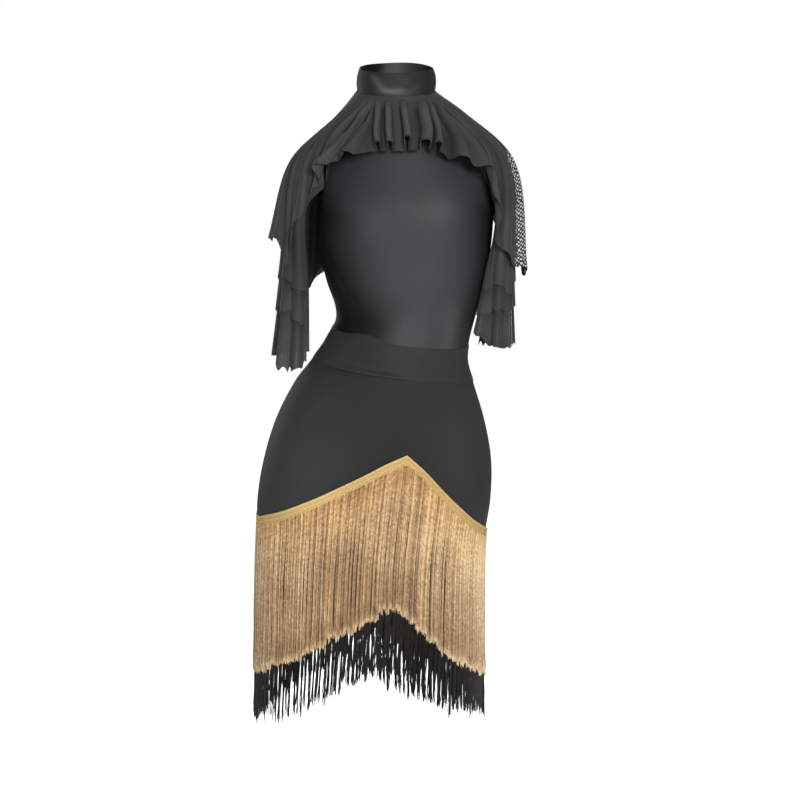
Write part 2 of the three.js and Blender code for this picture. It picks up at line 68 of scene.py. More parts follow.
def putLights():
    for name, light in lights.items():
        place = [p * mm for p in light["place"]]
        bpy.ops.object.light_add(type="AREA", location=place)
        lamp = bpy.context.object
        lamp.name = name + "Light"
        lamp.data.size = light["size"] * mm
        lamp.data.energy = light["power"]
        aim = np.array(lampTarget) * mm - np.array(place)
        yaw = math.atan2(aim[1], aim[0]) - math.pi / 2
        pitch = math.pi / 2 + math.atan2(aim[2], math.hypot(aim[0], aim[1]))
        lamp.rotation_euler = (pitch, 0, yaw)
    # white behind the dress, dimmer where it lights it
    world = bpy.data.worlds.new("studio")
    world.use_nodes = True
    shade = world.node_tree.nodes["Background"]
    seen = world.node_tree.nodes.new("ShaderNodeLightPath")
    level = world.node_tree.nodes.new("ShaderNodeMapRange")
    setInputs(level, {"To Min": studio["around"], "To Max": studio["backdrop"]})
    world.node_tree.links.new(seen.outputs["Is Camera Ray"], level.inputs["Value"])
    world.node_tree.links.new(level.outputs["Result"], shade.inputs["Strength"])
    shade.inputs["Color"].default_value = (1, 1, 1, 1)
    bpy.context.scene.world = world
    bpy.context.scene.view_settings.view_transform = "Standard"


def deselect():
    for thing in bpy.context.selected_objects:
        thing.select_set(False)


def putFloor():
    deselect()
    bpy.ops.mesh.primitive_plane_add(size=60, location=(0, 0, -studio["floorDrop"] * mm))
    floor = bpy.context.object
    floor.name = "studioFloor"
    paper = bpy.data.materials.new("floorPaper")
    paper.use_nodes = True
    shader = paper.node_tree.nodes["Principled BSDF"]
    tone = (studio["floorTone"],) * 3 + (1,)
    setInputs(shader, {"Base Color": tone, "Roughness": 0.95, "Specular IOR Level": 0,
                       "Emission Color": (1, 1, 1, 1)})
    seen = paper.node_tree.nodes.new("ShaderNodeLightPath")
    glow = paper.node_tree.nodes.new("ShaderNodeMath")
    glow.operation = "MULTIPLY"
    glow.inputs[1].default_value = studio["floorGlow"]
    paper.node_tree.links.new(seen.outputs["Is Camera Ray"], glow.inputs[0])
    paper.node_tree.links.new(glow.outputs[0], shader.inputs["Emission Strength"])
    floor.data.materials.append(paper)


putCamera()
putLights()
putFloor()
print("camera, lights and floor ready")

# the worn form, the same sizes as the cut pieces, in mm
neckSeam = {"half": 57, "depth": 56, "height": 7.5, "lean": 13}
knitThick = 1.5
overBody = 2.4  # how far off the form the fringes start
weldWithin = 0.02
smoothBelow = 50  # degrees between faces

# drop, centre, half width, front depth, back depth, turn in degrees
bodySections = np.array([
    (80, 18, 128, 84, 78, 0), (120, 20, 131, 97, 86, 0), (178, 14, 131, 108, 88, 0),
    (215, 12, 130, 106, 86, 1), (275, 15, 118, 94, 80, 2), (327, 15, 103, 84, 75, 4),
    (365, 1.5, 107, 85, 80, 8), (395, -10, 117, 90, 90, 12), (424, -17, 133, 97, 101, 16),
    (484, -23, 160, 106, 116, 20), (544, -26.5, 176, 111, 124, 22), (604, -31, 180, 112, 124, 22),
    (650, -34.5, 176, 111, 122, 22), (710, -37.5, 174, 110, 121, 22), (960, -38.5, 174, 110, 121, 22),
])
cup = {"angle": 33, "drop": 182, "rise": 5, "wide": 20, "tall": 46}
bandTop = {"drop": 356, "dip": 19, "fall": 13.5, "pull": 7}
bandFoot = {"drop": 406, "dip": 19, "fall": 15.5, "pull": 0}
# the band's top edge is pulled up here, in degrees to the wearer's right
pulledAt = {"angle": 32, "wide": 16}

# angle round the body, then how far the gold braid and the skirt hem fall below the point
point = {"gold": 536, "hem": 626}
fallRight = np.array([
    (0, 0, 0), (10, 13, 11), (20, 29, 24), (30, 44, 39), (45, 64, 58), (65, 82, 75), (90, 91, 81),
])
fallLeft = np.array([
    (0, 0, 0), (10, 25, 21), (20, 52, 43), (30, 74, 60), (45, 97, 76), (65, 110, 83), (90, 113, 86),
])
braidTall = 15


# curve through the rows
def readTable(table, at):
    keys = table[:, 0]
    at = np.asarray(at, float)
    row = np.clip(np.searchsorted(keys, at, side="right") - 1, 0, len(keys) - 2)
    before = np.maximum(row - 1, 0)
    after = np.minimum(row + 2, len(keys) - 1)
    span = keys[row + 1] - keys[row]
    t = np.clip((at - keys[row]) / span, 0, 1)[..., None]
    span = span[..., None]
    start, end = table[row, 1:], table[row + 1, 1:]
    leave = (end - table[before, 1:]) / (keys[row + 1] - keys[before])[..., None] * span
    arrive = (table[after, 1:] - start) / (keys[after] - keys[row])[..., None] * span
    return hermite(start, leave, end, arrive, t)


def hermite(start, leave, end, arrive, t):
    u = 1 - t
    return u * u * (1 + 2 * t) * start + t * u * u * leave + t * t * (3 - 2 * t) * end - t * t * u * arrive


def bump(distance, width):
    return np.exp(-(distance / width) ** 2)


def smoothStep(low, high, value):
    t = np.clip((value - low) / (high - low), 0, 1)
    return t * t * (3 - 2 * t)


def unit(arrows):
    return arrows / np.linalg.norm(arrows, axis=-1, keepdims=True)


# an angle brought between -180 and 180: 0 is the front, minus is the wearer's right
def fromFront(angle):
    return (np.asarray(angle, float) + 180) % 360 - 180


def bodyPoint(angle, drop, lift=0.0):
    angle, drop, lift = np.broadcast_arrays(*(np.asarray(value, float) for value in (angle, drop, lift)))
    centre, half, front, back, turn = np.moveaxis(readTable(bodySections, drop), -1, 0)
    a, turn = np.radians(angle), np.radians(turn)
    facing = np.where(np.cos(a) > 0, front, back)
    aside = bump(np.abs(fromFront(angle)) - cup["angle"], cup["wide"])
    cups = cup["rise"] * aside * bump(drop - cup["drop"], cup["tall"])
    across = (half + lift) * np.sin(a)
    forward = (facing + cups + lift) * np.cos(a)
    return np.stack([centre + across * np.cos(turn) + forward * np.sin(turn),
                     across * np.sin(turn) - forward * np.cos(turn), -drop], -1)


def neckPoint(angle, out=0.0, up=0.0):
    a = np.radians(angle)
    n = neckSeam
    return np.stack([(n["half"] + out) * np.sin(a), -(n["depth"] + out) * np.cos(a),
                     n["height"] - n["lean"] * np.cos(a) + up + 0 * a], -1)


def bandLine(seam, angle):
    a = np.radians(angle)
    pulled = seam["pull"] * bump(fromFront(angle) + pulledAt["angle"], pulledAt["wide"])
    return seam["drop"] + seam["dip"] * np.cos(a) + seam["fall"] * np.sin(a) - pulled


def fringeLine(row, angle):
    turn = fromFront(angle)
    side = np.minimum(np.abs(turn), 180 - np.abs(turn))
    column = 0 if row == "gold" else 1
    right, left = (readTable(table, side)[..., column] for table in (fallRight, fallLeft))
    return point[row] + np.where(turn < 0, right, left)


# making cloth
# a flat grid to be laid on its form
def clothGrid(name, columns, rows):
    deselect()
    bpy.ops.mesh.primitive_grid_add(x_subdivisions=columns, y_subdivisions=rows, size=2)
    piece = bpy.context.object
    piece.name = piece.data.name = name
    flat = pointRows(piece, "co")
    return piece, (flat[:, 0] + 1) / 2, (1 - flat[:, 1]) / 2


def layPoints(piece, places):
    piece.data.vertices.foreach_set("co", (np.asarray(places) * mm).ravel())
    piece.data.update()


# real sizes in metres, so weave and stitches keep their scale
def clothUv(piece, across, down):
    corner = np.empty(len(piece.data.loops), dtype=int)
    piece.data.loops.foreach_get("vertex_index", corner)
    layer = piece.data.uv_layers.active or piece.data.uv_layers.new(name="clothUv")
    layer.data.foreach_set("uv", np.stack([across[corner], down[corner]], -1).ravel() * mm)


def pick(piece):
    deselect()
    piece.select_set(True)
    bpy.context.view_layer.objects.active = piece


def useModifier(piece, kind, **settings):
    pick(piece)
    modifier = piece.modifiers.new(kind.lower(), kind)
    for key, value in settings.items():
        setattr(modifier, key, value)
    bpy.ops.object.modifier_apply(modifier=modifier.name)


def faceOut(piece):
    pick(piece)
    bpy.ops.object.mode_set(mode="EDIT")
    bpy.ops.mesh.select_all(action="SELECT")
    bpy.ops.mesh.normals_make_consistent(inside=False)
    bpy.ops.object.mode_set(mode="OBJECT")


def smooth(piece):
    pick(piece)
    bpy.ops.object.shade_smooth_by_angle(angle=math.radians(smoothBelow))


def shell(piece, thick, ring=False):
    if ring:
        useModifier(piece, "WELD", merge_threshold=weldWithin * mm)
        faceOut(piece)
    useModifier(piece, "SOLIDIFY", thickness=thick * mm, offset=0, use_even_offset=False)
    smooth(piece)


def register(piece, material, nodes=()):
    piece.data.materials.clear()
    piece.data.materials.append(material)
    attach(piece, "root")
    if nodes:
        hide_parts(*nodes)


# widest row, longest column and area of a grid before it gets its wall
def measureCut(piece, columns):
    areas = np.empty(len(piece.data.polygons))
    piece.data.polygons.foreach_get("area", areas)
    places = pointRows(piece, "co").reshape(-1, columns + 1, 3)
    wide = np.linalg.norm(np.diff(places, axis=1), axis=2).sum(axis=1).max()
    long = np.linalg.norm(np.diff(places, axis=0), axis=2).sum(axis=0).max()
    return float(wide), float(long), float(areas.sum())


# one row for each point, of its place ("co") or its "normal"
def pointRows(piece, what):
    rows = np.empty(len(piece.data.vertices) * 3)
    piece.data.vertices.foreach_get(what, rows)
    return rows.reshape(-1, 3)


# soft spots from (across, width, down, height, strength) rows
def softSpots(across, down, rows):
    return sum(strength * bump(across - x, wide) * bump(down - y, tall)
               for x, wide, y, tall, strength in rows)


# a value for each point that a finish reads
def markCloth(piece, name, values):
    tell = piece.data.attributes.new(name, "FLOAT", "POINT")
    tell.data.foreach_set("value", np.clip(values, 0, 1))


# soft folds from -1 to 1 that close on themselves round the body, always the same
def ripple(angle, down, seed, count, turns, rows):
    rng = np.random.default_rng(seed)
    total = 0
    for _ in range(count):
        around = rng.integers(1, turns + 1)
        slant = rng.uniform(-rows, rows)
        turned = np.radians(angle) * around + slant * down + rng.uniform(0, 6.28)
        total = total + np.sin(turned) / count ** 0.5
    return total


# finishes
knits = {
    "bodiceKnit": {"tone": (0.041, 0.0425, 0.0455), "rough": 0.56, "specular": 0.36, "sheen": 0.0},
    "skirtKnit": {"tone": (0.043, 0.0445, 0.044), "rough": 0.62, "specular": 0.16, "sheen": 0.02},
    "collarKnit": {"tone": (0.045, 0.045, 0.045), "rough": 0.6, "specular": 0.25, "sheen": 0.05},
}
# colours of the painted shade and of the painted highlight on the knits
knitShadeTone, knitHighlightTone = (0.004, 0.004, 0.0045), (0.12, 0.12, 0.12)
# pitch of the fine and the coarse net in mm, and how wide the gaps are where light is painted in
# light is the colour of that painted light, deep of the painted shade and lit of the painted highlight
netSizes = {"finePitch": 2.2, "coarsePitch": 6.8, "coarseGap": 0.6, "stretch": 1.6, "bend": 4.5,
            "tone": (0.044, 0.044, 0.044), "light": (0.75, 0.76, 0.77), "rough": 0.7, "specular": 0.25,
            "sheen": 0.12, "deep": (0.008, 0.008, 0.008), "lit": (0.085, 0.085, 0.085)}
threadSheen = 0.15
# tones from dark to light by place, then the tint near the braid
threads = {
    "goldThread": {"stops": [(0.15, (0.13, 0.07, 0.045)), (0.38, (0.40, 0.245, 0.135)),
                             (0.6, (0.62, 0.42, 0.225)), (0.85, (0.95, 0.76, 0.48))],
                   "crown": (1.0, 0.88, 0.62), "rough": 0.45, "specular": 0.45, "crinkle": 210.0},
    "goldBraidFinish": {"stops": [(0.2, (0.46, 0.29, 0.09)), (0.8, (0.92, 0.66, 0.26))],
                        "crown": (1.0, 0.95, 0.8), "rough": 0.5, "specular": 0.4, "crinkle": 500.0},
    "blackThread": {"stops": [(0.2, (0.004, 0.0035, 0.003)), (0.85, (0.022, 0.019, 0.017))],
                    "crown": (1.0, 1.0, 1.0), "rough": 0.42, "specular": 0.35, "crinkle": 210.0},
    "sewingThread": {"stops": [(0.2, (0.01, 0.01, 0.01)), (0.8, (0.045, 0.045, 0.045))],
                     "crown": (1.0, 1.0, 1.0), "rough": 0.55, "specular": 0.3, "crinkle": 210.0},
}


def newFinish(name, rough, specular, sheen=0.0):
    made = bpy.data.materials.new(name)
    made.use_nodes = True
    shader = made.node_tree.nodes["Principled BSDF"]
    setInputs(shader, {"Roughness": rough, "Specular IOR Level": specular, "Sheen Weight": sheen,
                       "Sheen Roughness": 0.5})
    place = made.node_tree.nodes.new("ShaderNodeTexCoord")
    return made, made.node_tree, shader, place.outputs["UV"], place.outputs["Object"]


def addNode(tree, kind, **values):
    made = tree.nodes.new(kind)
    for key, value in values.items():
        if key in made.inputs:
            made.inputs[key].default_value = value
        else:
            setattr(made, key, value)
    return made


# what markCloth wrote on the points
def readMark(tree, name):
    made = tree.nodes.new("ShaderNodeAttribute")
    made.attribute_name = name
    return made.outputs["Fac"]


def addNoise(tree, where, **values):
    made = addNode(tree, "ShaderNodeTexNoise", **values)
    tree.links.new(where, made.inputs["Vector"])
    return made.outputs


def maths(tree, operation, first, second=0.0):
    made = tree.nodes.new("ShaderNodeMath")
    made.operation = operation
    for socket, value in zip(made.inputs, (first, second)):
        if isinstance(value, (int, float)):
            socket.default_value = value
        else:
            tree.links.new(value, socket)
    return made.outputs[0]


def remap(tree, value, known, wanted):
    made = tree.nodes.new("ShaderNodeMapRange")
    setInputs(made, dict(zip(("From Min", "From Max", "To Min", "To Max"), known + wanted)))
    tree.links.new(value, made.inputs["Value"])
    return made.outputs[0]


# colours from (place, colour) pairs
def toneRamp(tree, amount, stops):
    ramp = tree.nodes.new("ShaderNodeValToRGB")
    while len(ramp.color_ramp.elements) < len(stops):
        ramp.color_ramp.elements.new(0.5)
    for element, (place, colour) in zip(ramp.color_ramp.elements, stops):
        element.position = place
        element.color = tuple(colour) + (1,)
    tree.links.new(amount, ramp.inputs[0])
    return ramp.outputs[0]


def blend(tree, amount, first, second, kind="MIX"):
    made = tree.nodes.new("ShaderNodeMix")
    made.data_type = "RGBA"
    made.blend_type = kind
    tree.links.new(amount, made.inputs["Factor"])
    for socket, value in ((made.inputs[6], first), (made.inputs[7], second)):
        if isinstance(value, tuple):
            socket.default_value = value + (1,)
        else:
            tree.links.new(value, socket)
    return made.outputs[2]


def bumpUp(tree, shader, height, strength, distance):
    made = addNode(tree, "ShaderNodeBump", Strength=strength, Distance=distance)
    tree.links.new(height, made.inputs["Height"])
    tree.links.new(made.outputs[0], shader.inputs["Normal"])


# tone of the cloth, a little darker and lighter in patches, then painted shade where it is marked depth and
# a painted highlight where it is marked lit
def clothTone(tree, patches, tone, vary, deep, lit):
    stops = [(0.3, tuple(c * (1 - vary) for c in tone)), (0.7, tuple(c * (1 + vary) for c in tone))]
    cloth = blend(tree, readMark(tree, "depth"), toneRamp(tree, patches, stops), deep)
    return blend(tree, readMark(tree, "lit"), cloth, lit)


# fine ribs of a stretch knit, with soft patches where it is more or less stretched
def stretchKnit(name):
    k = knits[name]
    made, tree, shader, uv, here = newFinish(name, k["rough"], k["specular"], k["sheen"])
    large = addNoise(tree, here, Scale=6.0, Detail=3.0, Roughness=0.5)
    fine = addNoise(tree, here, Scale=700.0, Detail=2.0)
    large, fine = maths(tree, "MULTIPLY", large[0], 0.7), maths(tree, "MULTIPLY", fine[0], 0.3)
    patches = maths(tree, "ADD", large, fine)
    cloth = clothTone(tree, patches, k["tone"], 0.2, knitShadeTone, knitHighlightTone)
    tree.links.new(cloth, shader.inputs["Base Color"])
    # wales down the cloth, crossed by finer courses
    waves = []
    for scale, distortion, direction in ((330.0, 0.6, "X"), (420.0, 0.4, "Y")):
        wave = addNode(tree, "ShaderNodeTexWave", Scale=scale, Distortion=distortion, Detail=1.0,
                       bands_direction=direction)
        tree.links.new(uv, wave.inputs["Vector"])
        waves.append(wave.outputs["Fac"])
    loops = maths(tree, "MULTIPLY", *waves)
    bumpUp(tree, shader, loops, 0.15, 0.0003)
    return made


# 0 on the threads of a diamond net and 1 in the middle of its gaps
def lattice(tree, uv, pitch, stretch=1.0):
    shift = addNode(tree, "ShaderNodeMapping", Rotation=(0, 0, math.pi / 4))
    squeeze = addNode(tree, "ShaderNodeMapping", Scale=(1 / (pitch * mm), stretch / (pitch * mm), 1))
    tree.links.new(uv, squeeze.inputs["Vector"])
    tree.links.new(squeeze.outputs[0], shift.inputs["Vector"])
    parts = tree.nodes.new("ShaderNodeSeparateXYZ")
    tree.links.new(shift.outputs[0], parts.inputs[0])
    waves = [maths(tree, "SINE", maths(tree, "MULTIPLY", parts.outputs[i], math.pi)) for i in (0, 1)]
    return maths(tree, "ABSOLUTE", maths(tree, "MULTIPLY", *waves))


# fine net, see-through where sheer is 1; over the coarse net the light in its wide gaps is painted on in a
# pale colour, and the cloth there stays solid
def stretchNet(name):
    n = netSizes
    made, tree, shader, uv, here = newFinish(name, n["rough"], n["specular"], n["sheen"])
    gaps = lattice(tree, uv, n["finePitch"])
    closed = maths(tree, "SUBTRACT", 1.0, maths(tree, "MULTIPLY", readMark(tree, "sheer"), 0.9))
    solid = maths(tree, "SUBTRACT", 1.0, maths(tree, "GREATER_THAN", gaps, closed))
    # the coarse net is bent a little, and its edge is patchy
    bent = tree.nodes.new("ShaderNodeVectorMath")
    bent.operation = "MULTIPLY_ADD"
    tree.links.new(addNoise(tree, uv, Scale=140.0, Detail=0.0)["Color"], bent.inputs[0])
    bent.inputs[1].default_value = (n["bend"] * mm, n["bend"] * mm, 0)
    tree.links.new(uv, bent.inputs[2])
    wide = lattice(tree, bent.outputs[0], n["coarsePitch"], n["stretch"])
    patchy = maths(tree, "SUBTRACT", addNoise(tree, here, Scale=120.0, Detail=1.0)[0], 0.5)
    patchy = maths(tree, "MULTIPLY", patchy, 1.1)
    coarse = maths(tree, "ADD", readMark(tree, "coarseNet"), patchy)
    coarse = maths(tree, "GREATER_THAN", coarse, 0.42)
    # painted light: a pale colour in the wide gaps of the coarse net
    lit = maths(tree, "MULTIPLY", maths(tree, "GREATER_THAN", wide, n["coarseGap"]), coarse)
    tree.links.new(maths(tree, "MAXIMUM", solid, coarse), shader.inputs["Alpha"])
    large = addNoise(tree, here, Scale=9.0, Detail=4.0)[0]
    cloth = clothTone(tree, large, n["tone"], 0.25, n["deep"], n["lit"])
    tree.links.new(blend(tree, lit, cloth, n["light"]), shader.inputs["Base Color"])
    bumpUp(tree, shader, gaps, 0.25, -0.0003)
    return made


# shiny thread: strandTone gives each its own tone with painted shade and highlight, and crinkles, painted
# as glints, break it up along its length
def threadFinish(name):
    t = threads[name]
    made, tree, shader, uv, here = newFinish(name, t["rough"], t["specular"], threadSheen)
    speck = addNoise(tree, uv, Scale=t["crinkle"], Detail=2.0, Roughness=0.6)[0]
    drift = addNoise(tree, here, Scale=13.0, Detail=2.0)[0]
    # painted glints: the crinkle noise makes the thread lighter and darker along its length
    glint = maths(tree, "MULTIPLY", maths(tree, "SUBTRACT", speck, 0.5), 0.9)
    mixed = maths(tree, "ADD", maths(tree, "MULTIPLY", readMark(tree, "strandTone"), 0.6), glint)
    mixed = maths(tree, "ADD", mixed, maths(tree, "MULTIPLY", drift, 0.4))
    # the threads get a little darker on their way down, and their tips are painted lighter as a highlight
    parts = tree.nodes.new("ShaderNodeSeparateXYZ")
    tree.links.new(uv, parts.inputs[0])
    down = parts.outputs[1]
    for known, wanted in (((0.04, 0.2), (0.05, -0.13)), ((0.203, 0.214), (0, 0.44))):
        mixed = maths(tree, "ADD", mixed, remap(tree, down, known, wanted))
    # nearer the braid the threads are as yellow as the braid
    top = remap(tree, down, (0, 0.075), (0.6, 0))
    colour = blend(tree, top, toneRamp(tree, mixed, t["stops"]), t["crown"], "MULTIPLY")
    tree.links.new(colour, shader.inputs["Base Color"])
    bumpUp(tree, shader, speck, 0.5, 0.0006)
    return made


bodiceKnit, skirtKnit, collarKnit = (stretchKnit(name) for name in knits)
capeNet = stretchNet("capeNet")
goldThread, goldBraidFinish, blackThread, sewingThread = (threadFinish(name) for name in threads)
print("finishes ready")

# stand collar
collarSizes = {"tall": 36, "long": 350, "swell": 2.2, "topInset": 3, "thick": 2.2, "edge": 0.9, "lap": 1.3,
               "columns": 180, "rows": 26}
# slack creases: angle at the top, degrees across on their way down, width, depth and how soon they fade
collarCreases = [(-10, 44, 11, 1.3, 0.7), (42, -30, 9, 0.78, 1)]
# spots of painted shade and of painted highlight: angle, width, share of the way down, height and strength
collarShadeSpots = [(16, 20, 0.35, 0.4, 0.28)]
collarHighlightSpots = [(-3, 17, 0.77, 0.12, 0.8)]


# painted shade at the sides and deep inside, with painted highlights along the crease, low on the front and
# on the inside at the back
def shadeCollar(piece):
    places, normals = pointRows(piece, "co") / mm, pointRows(piece, "normal")
    angle = np.degrees(np.arctan2(places[:, 0], -places[:, 1]))
    down = 1 - (places[:, 2] - neckPoint(angle)[:, 2]) / collarSizes["tall"]
    side = np.abs(angle)
    inside = (places[:, :2] * normals[:, :2]).sum(axis=1) < 0
    behind = 180 - side
    outer = (0.38 + 0.27 * smoothStep(8, 60, side)) * (1 - smoothStep(90, 130, side))
    outer = outer + softSpots(angle, down, collarShadeSpots)
    inner = np.where(angle < 0, 0.95 * smoothStep(12, 30, behind), 0.7 * smoothStep(42, 66, behind))
    markCloth(piece, "depth", np.where(inside, inner, outer))
    ends = smoothStep(0.05, 0.25, down) * (1 - smoothStep(0.75, 0.9, down))
    shine = 0.5 * bump(angle + 39 - 33 * (down - 0.1), 8) * ends + softSpots(angle, down, collarHighlightSpots)
    markCloth(piece, "lit", np.where(inside, 0.6 * bump(behind, 18), shine))


def makeCollar():
    c = collarSizes
    piece, u, v = clothGrid("standCollar", c["columns"], c["rows"])
    angle = 360 * u - 180
    out = c["swell"] * np.sin(np.pi * v) - c["topInset"] * (1 - v)
    # the back half laps over the front on the wearer's left, and fades away behind
    lap = smoothStep(74, 79, angle) * (1 - smoothStep(90, 178, angle))
    out = out + c["lap"] * lap * (0.7 + 0.3 * np.sin(v * 5))
    for start, slant, wide, deep, power in collarCreases:
        out = out - deep * bump(angle - start - slant * v, wide) * np.sin(np.pi * v) ** power
    out = out + 0.35 * ripple(angle, v, 3, 4, 7, 3) * np.sin(np.pi * v)
    up = 0.3 + (c["tall"] + 0.5 * ripple(angle, 0 * v, 4, 3, 4, 0)) * (1 - v)
    layPoints(piece, neckPoint(angle, out, up))
    clothUv(piece, u * c["long"], v * c["tall"])
    cut = measureCut(piece, c["columns"])
    shell(piece, c["thick"], ring=True)
    useModifier(piece, "BEVEL", width=c["edge"] * mm, segments=3, limit_method="ANGLE",
                angle_limit=math.radians(60))
    smooth(piece)
    shadeCollar(piece)
    register(piece, collarKnit, ["collar"])


# bodice
# the share of a panel's half width that its neck takes; how far the cloth runs out and falls from
# the neck and from the shoulder seam; gap between front and back; how far under the collar it starts
yoke = {"armpit": 170, "halfChest": 131, "neckShare": 0.45, "leftTip": 138, "rightTip": -118,
        "tipDrop": 69, "neckOut": 34, "neckFall": 52, "middleFall": 20, "shoulderOut": 60, "tipIn": 22,
        "shoulderFall": 45, "chestPull": 50, "gap": 0.15, "under": 0.3}
armhole = {"wide": 38, "inward": 12, "starts": 0.55}
bodiceSizes = {"tuck": 12, "crease": 0.45, "sideShade": 0.92, "weaveWide": 200, "weaveTall": 400,
               "columns": 100, "rowsAbove": 34, "rowsBelow": 50}
# painted shade between the cups and painted highlights on them: share of the way across, width, drop,
# height and strength
shadeBetweenCups = [(0.08, 0.2, 150, 55, 0.27)]
highlightOnCups = [(0.32, 0.1, cup["drop"], 32, 0.12), (-0.24, 0.1, cup["drop"], 32, 0.06)]


# angle round the body for a place across a panel, from -1 on the wearer's right to 1
def panelAngle(side, across):
    return 90 * across if side == "front" else 180 - 90 * across


def yokePoint(side, across, down):
    y = yoke
    facing = -1 if side == "front" else 1
    share = np.abs(across)
    angle = panelAngle(side, across)
    zero = 0 * across
    neckTop = neckPoint(panelAngle(side, across / y["neckShare"]), 0, -y["under"] - knitThick)
    neckFall = y["neckFall"] + y["middleFall"] * np.maximum(1 - share / y["neckShare"], 0)
    neckLeave = np.stack([zero, zero + facing * y["neckOut"], -neckFall], -1)
    corner = neckPoint(np.where(across > 0, 90.0, -90.0), 0, -y["under"] - knitThick)
    tipAcross = np.where(across > 0, y["leftTip"], y["rightTip"])
    tip = np.stack([tipAcross + zero, zero, zero - y["tipDrop"]], -1)
    t = np.clip((share - y["neckShare"]) / (1 - y["neckShare"]), 0, 1)[..., None]
    shoulderTop = corner * (1 - t) + tip * t + np.array([0, facing * y["gap"], 0])
    shoulderOut = y["shoulderOut"] - y["tipIn"] * t[..., 0]
    shoulderLeave = np.stack([zero, facing * shoulderOut, zero - y["shoulderFall"]], -1)
    top = np.where((share < y["neckShare"])[..., None], neckTop, shoulderTop)
    turnOver = smoothStep(0.33, 0.57, share)[..., None]
    leave = neckLeave * (1 - turnOver) + shoulderLeave * turnOver
    chest = bodyPoint(angle, y["armpit"])
    arrive = y["chestPull"] * (bodyPoint(angle, y["armpit"] + 1) - bodyPoint(angle, y["armpit"] - 1))
    place = hermite(top, leave, chest, arrive, down[..., None])
    scoop = np.maximum(0, (share - armhole["starts"]) / (1 - armhole["starts"])) ** 2 * np.sin(np.pi * down)
    place[..., 0] -= np.sign(across) * armhole["inward"] * scoop
    place[..., 1] += facing * armhole["wide"] * scoop
    return place


# moves a shape's points out along its own normal
def outwards(shape, u, v, lift, flip=1):
    step = 0.002
    along = shape(u + step, v) - shape(u - step, v)
    down = shape(u, np.minimum(v + step, 1)) - shape(u, np.maximum(v - step, 0))
    return shape(u, v) + unit(np.cross(down, along) * flip) * np.asarray(lift)[..., None]


def makeBodice(side):
    b = bodiceSizes
    rows = b["rowsAbove"] + b["rowsBelow"]
    piece, u, v = clothGrid("bodice" + side.capitalize(), b["columns"], rows)
    # the panels stop short of each other by a hair at the side seams
    limit = 1 - yoke["gap"] / yoke["halfChest"] / (math.pi / 2)
    across = np.clip(2 * u - 1, -limit, limit)
    split = b["rowsAbove"] / rows
    above = np.clip(v / split, 0, 1)
    below = np.clip((v - split) / (1 - split), 0, 1)
    angle = panelAngle(side, across)
    foot = bandLine(bandTop, angle) + b["tuck"]
    # pull lines fan out from the waist, and the cloth gathers a little above the band
    middle = np.sin(np.pi * below)
    taut = b["crease"] * ripple(angle, below * 2, 11, 5, 9, 2.5) * middle ** 0.8
    gather = 0.3 * ripple(angle, below * 3, 12, 4, 26, 3) * bump(below - 0.86, 0.1)
    diagonal = 1.1 * bump((angle + 62) / 9 - (below - 0.45) * 5, 0.6) * middle
    lift = knitThick / 2 + taut + gather - diagonal * (side == "front")
    lift = np.where(below > 0, lift, knitThick / 2)
    high = outwards(lambda a, d: yokePoint(side, a, d), across, above, 0 * across + knitThick / 2,
                    1 if side == "front" else -1)
    low = bodyPoint(angle, yoke["armpit"] + (foot - yoke["armpit"]) * below, lift)
    layPoints(piece, np.where((v <= split)[..., None], high, low))
    clothUv(piece, across * b["weaveWide"], v * b["weaveTall"])
    # painted shade round the sides, most of all towards the waist on the wearer's right
    right = across < 0
    near = np.abs(across) + np.where(right, 0.1 * smoothStep(0.38, 0.46, v) + 0.24 * below, -0.1 * below)
    depth = b["sideShade"] * smoothStep(0.3, 0.85, near) * (0.25 + 0.75 * smoothStep(0.26, 0.44, v))
    # and painted shade between the cups, and beside the raised hip
    drop = np.where(v <= split, -high[:, 2], -low[:, 2])
    hip = 0.55 * smoothStep(285, 352, drop) * bump(across + 0.25, 0.3)
    markCloth(piece, "depth", depth + softSpots(across, drop, shadeBetweenCups) + hip)
    # painted highlights on the cups and just above the band
    waist = 0.3 * bump(across - 0.42, 0.12) * smoothStep(290, 340, drop)
    markCloth(piece, "lit", softSpots(across, drop, highlightOnCups) + waist)
    cut = measureCut(piece, b["columns"])
    shell(piece, knitThick)
    register(piece, bodiceKnit, ["bodice_" + side])


# waistband and skirt
bandSizes = {"thick": 1.1, "off": 2.3, "roll": 1.5, "columns": 70, "rows": 22}
skirtSizes = {"tuck": 8, "crease": 0.55, "columns": 60, "rows": 80}
# painted shade down the middle: how much, where across in mm and how wide
bandShade, skirtShade = (0.36, -20, 70), (0.55, -30, 90)
weaveRound = 2.6  # mm of weave for a degree round the body
# node, then where each panel starts and ends round the body
panels = {
    "FrontRight": ("front_right", -90, 0), "FrontLeft": ("front_left", 0, 90), "Back": ("back", 90, 270),
}


# cloth between two lines round the body; liftAt gives how far it lies off the form, and names
# how the names of the piece and of its node begin
def makePanel(names, panel, sizes, lines, liftAt, dark, thick):
    cadEnd, start, end = panels[panel]
    columns = round(sizes["columns"] * (end - start) / 90)
    piece, u, v = clothGrid(names[0] + panel, columns, sizes["rows"])
    angle = start + (end - start) * u
    top, foot = lines(angle)
    drop = top + (foot - top) * v
    layPoints(piece, bodyPoint(angle, drop, liftAt(angle, v)))
    clothUv(piece, angle * weaveRound, drop)
    cut = measureCut(piece, columns)
    # painted shade down the middle of the panel
    strength, middle, wide = dark
    markCloth(piece, "depth", strength * bump(pointRows(piece, "co")[:, 0] / mm - middle, wide))
    shell(piece, thick)
    register(piece, skirtKnit, [names[1] + cadEnd])


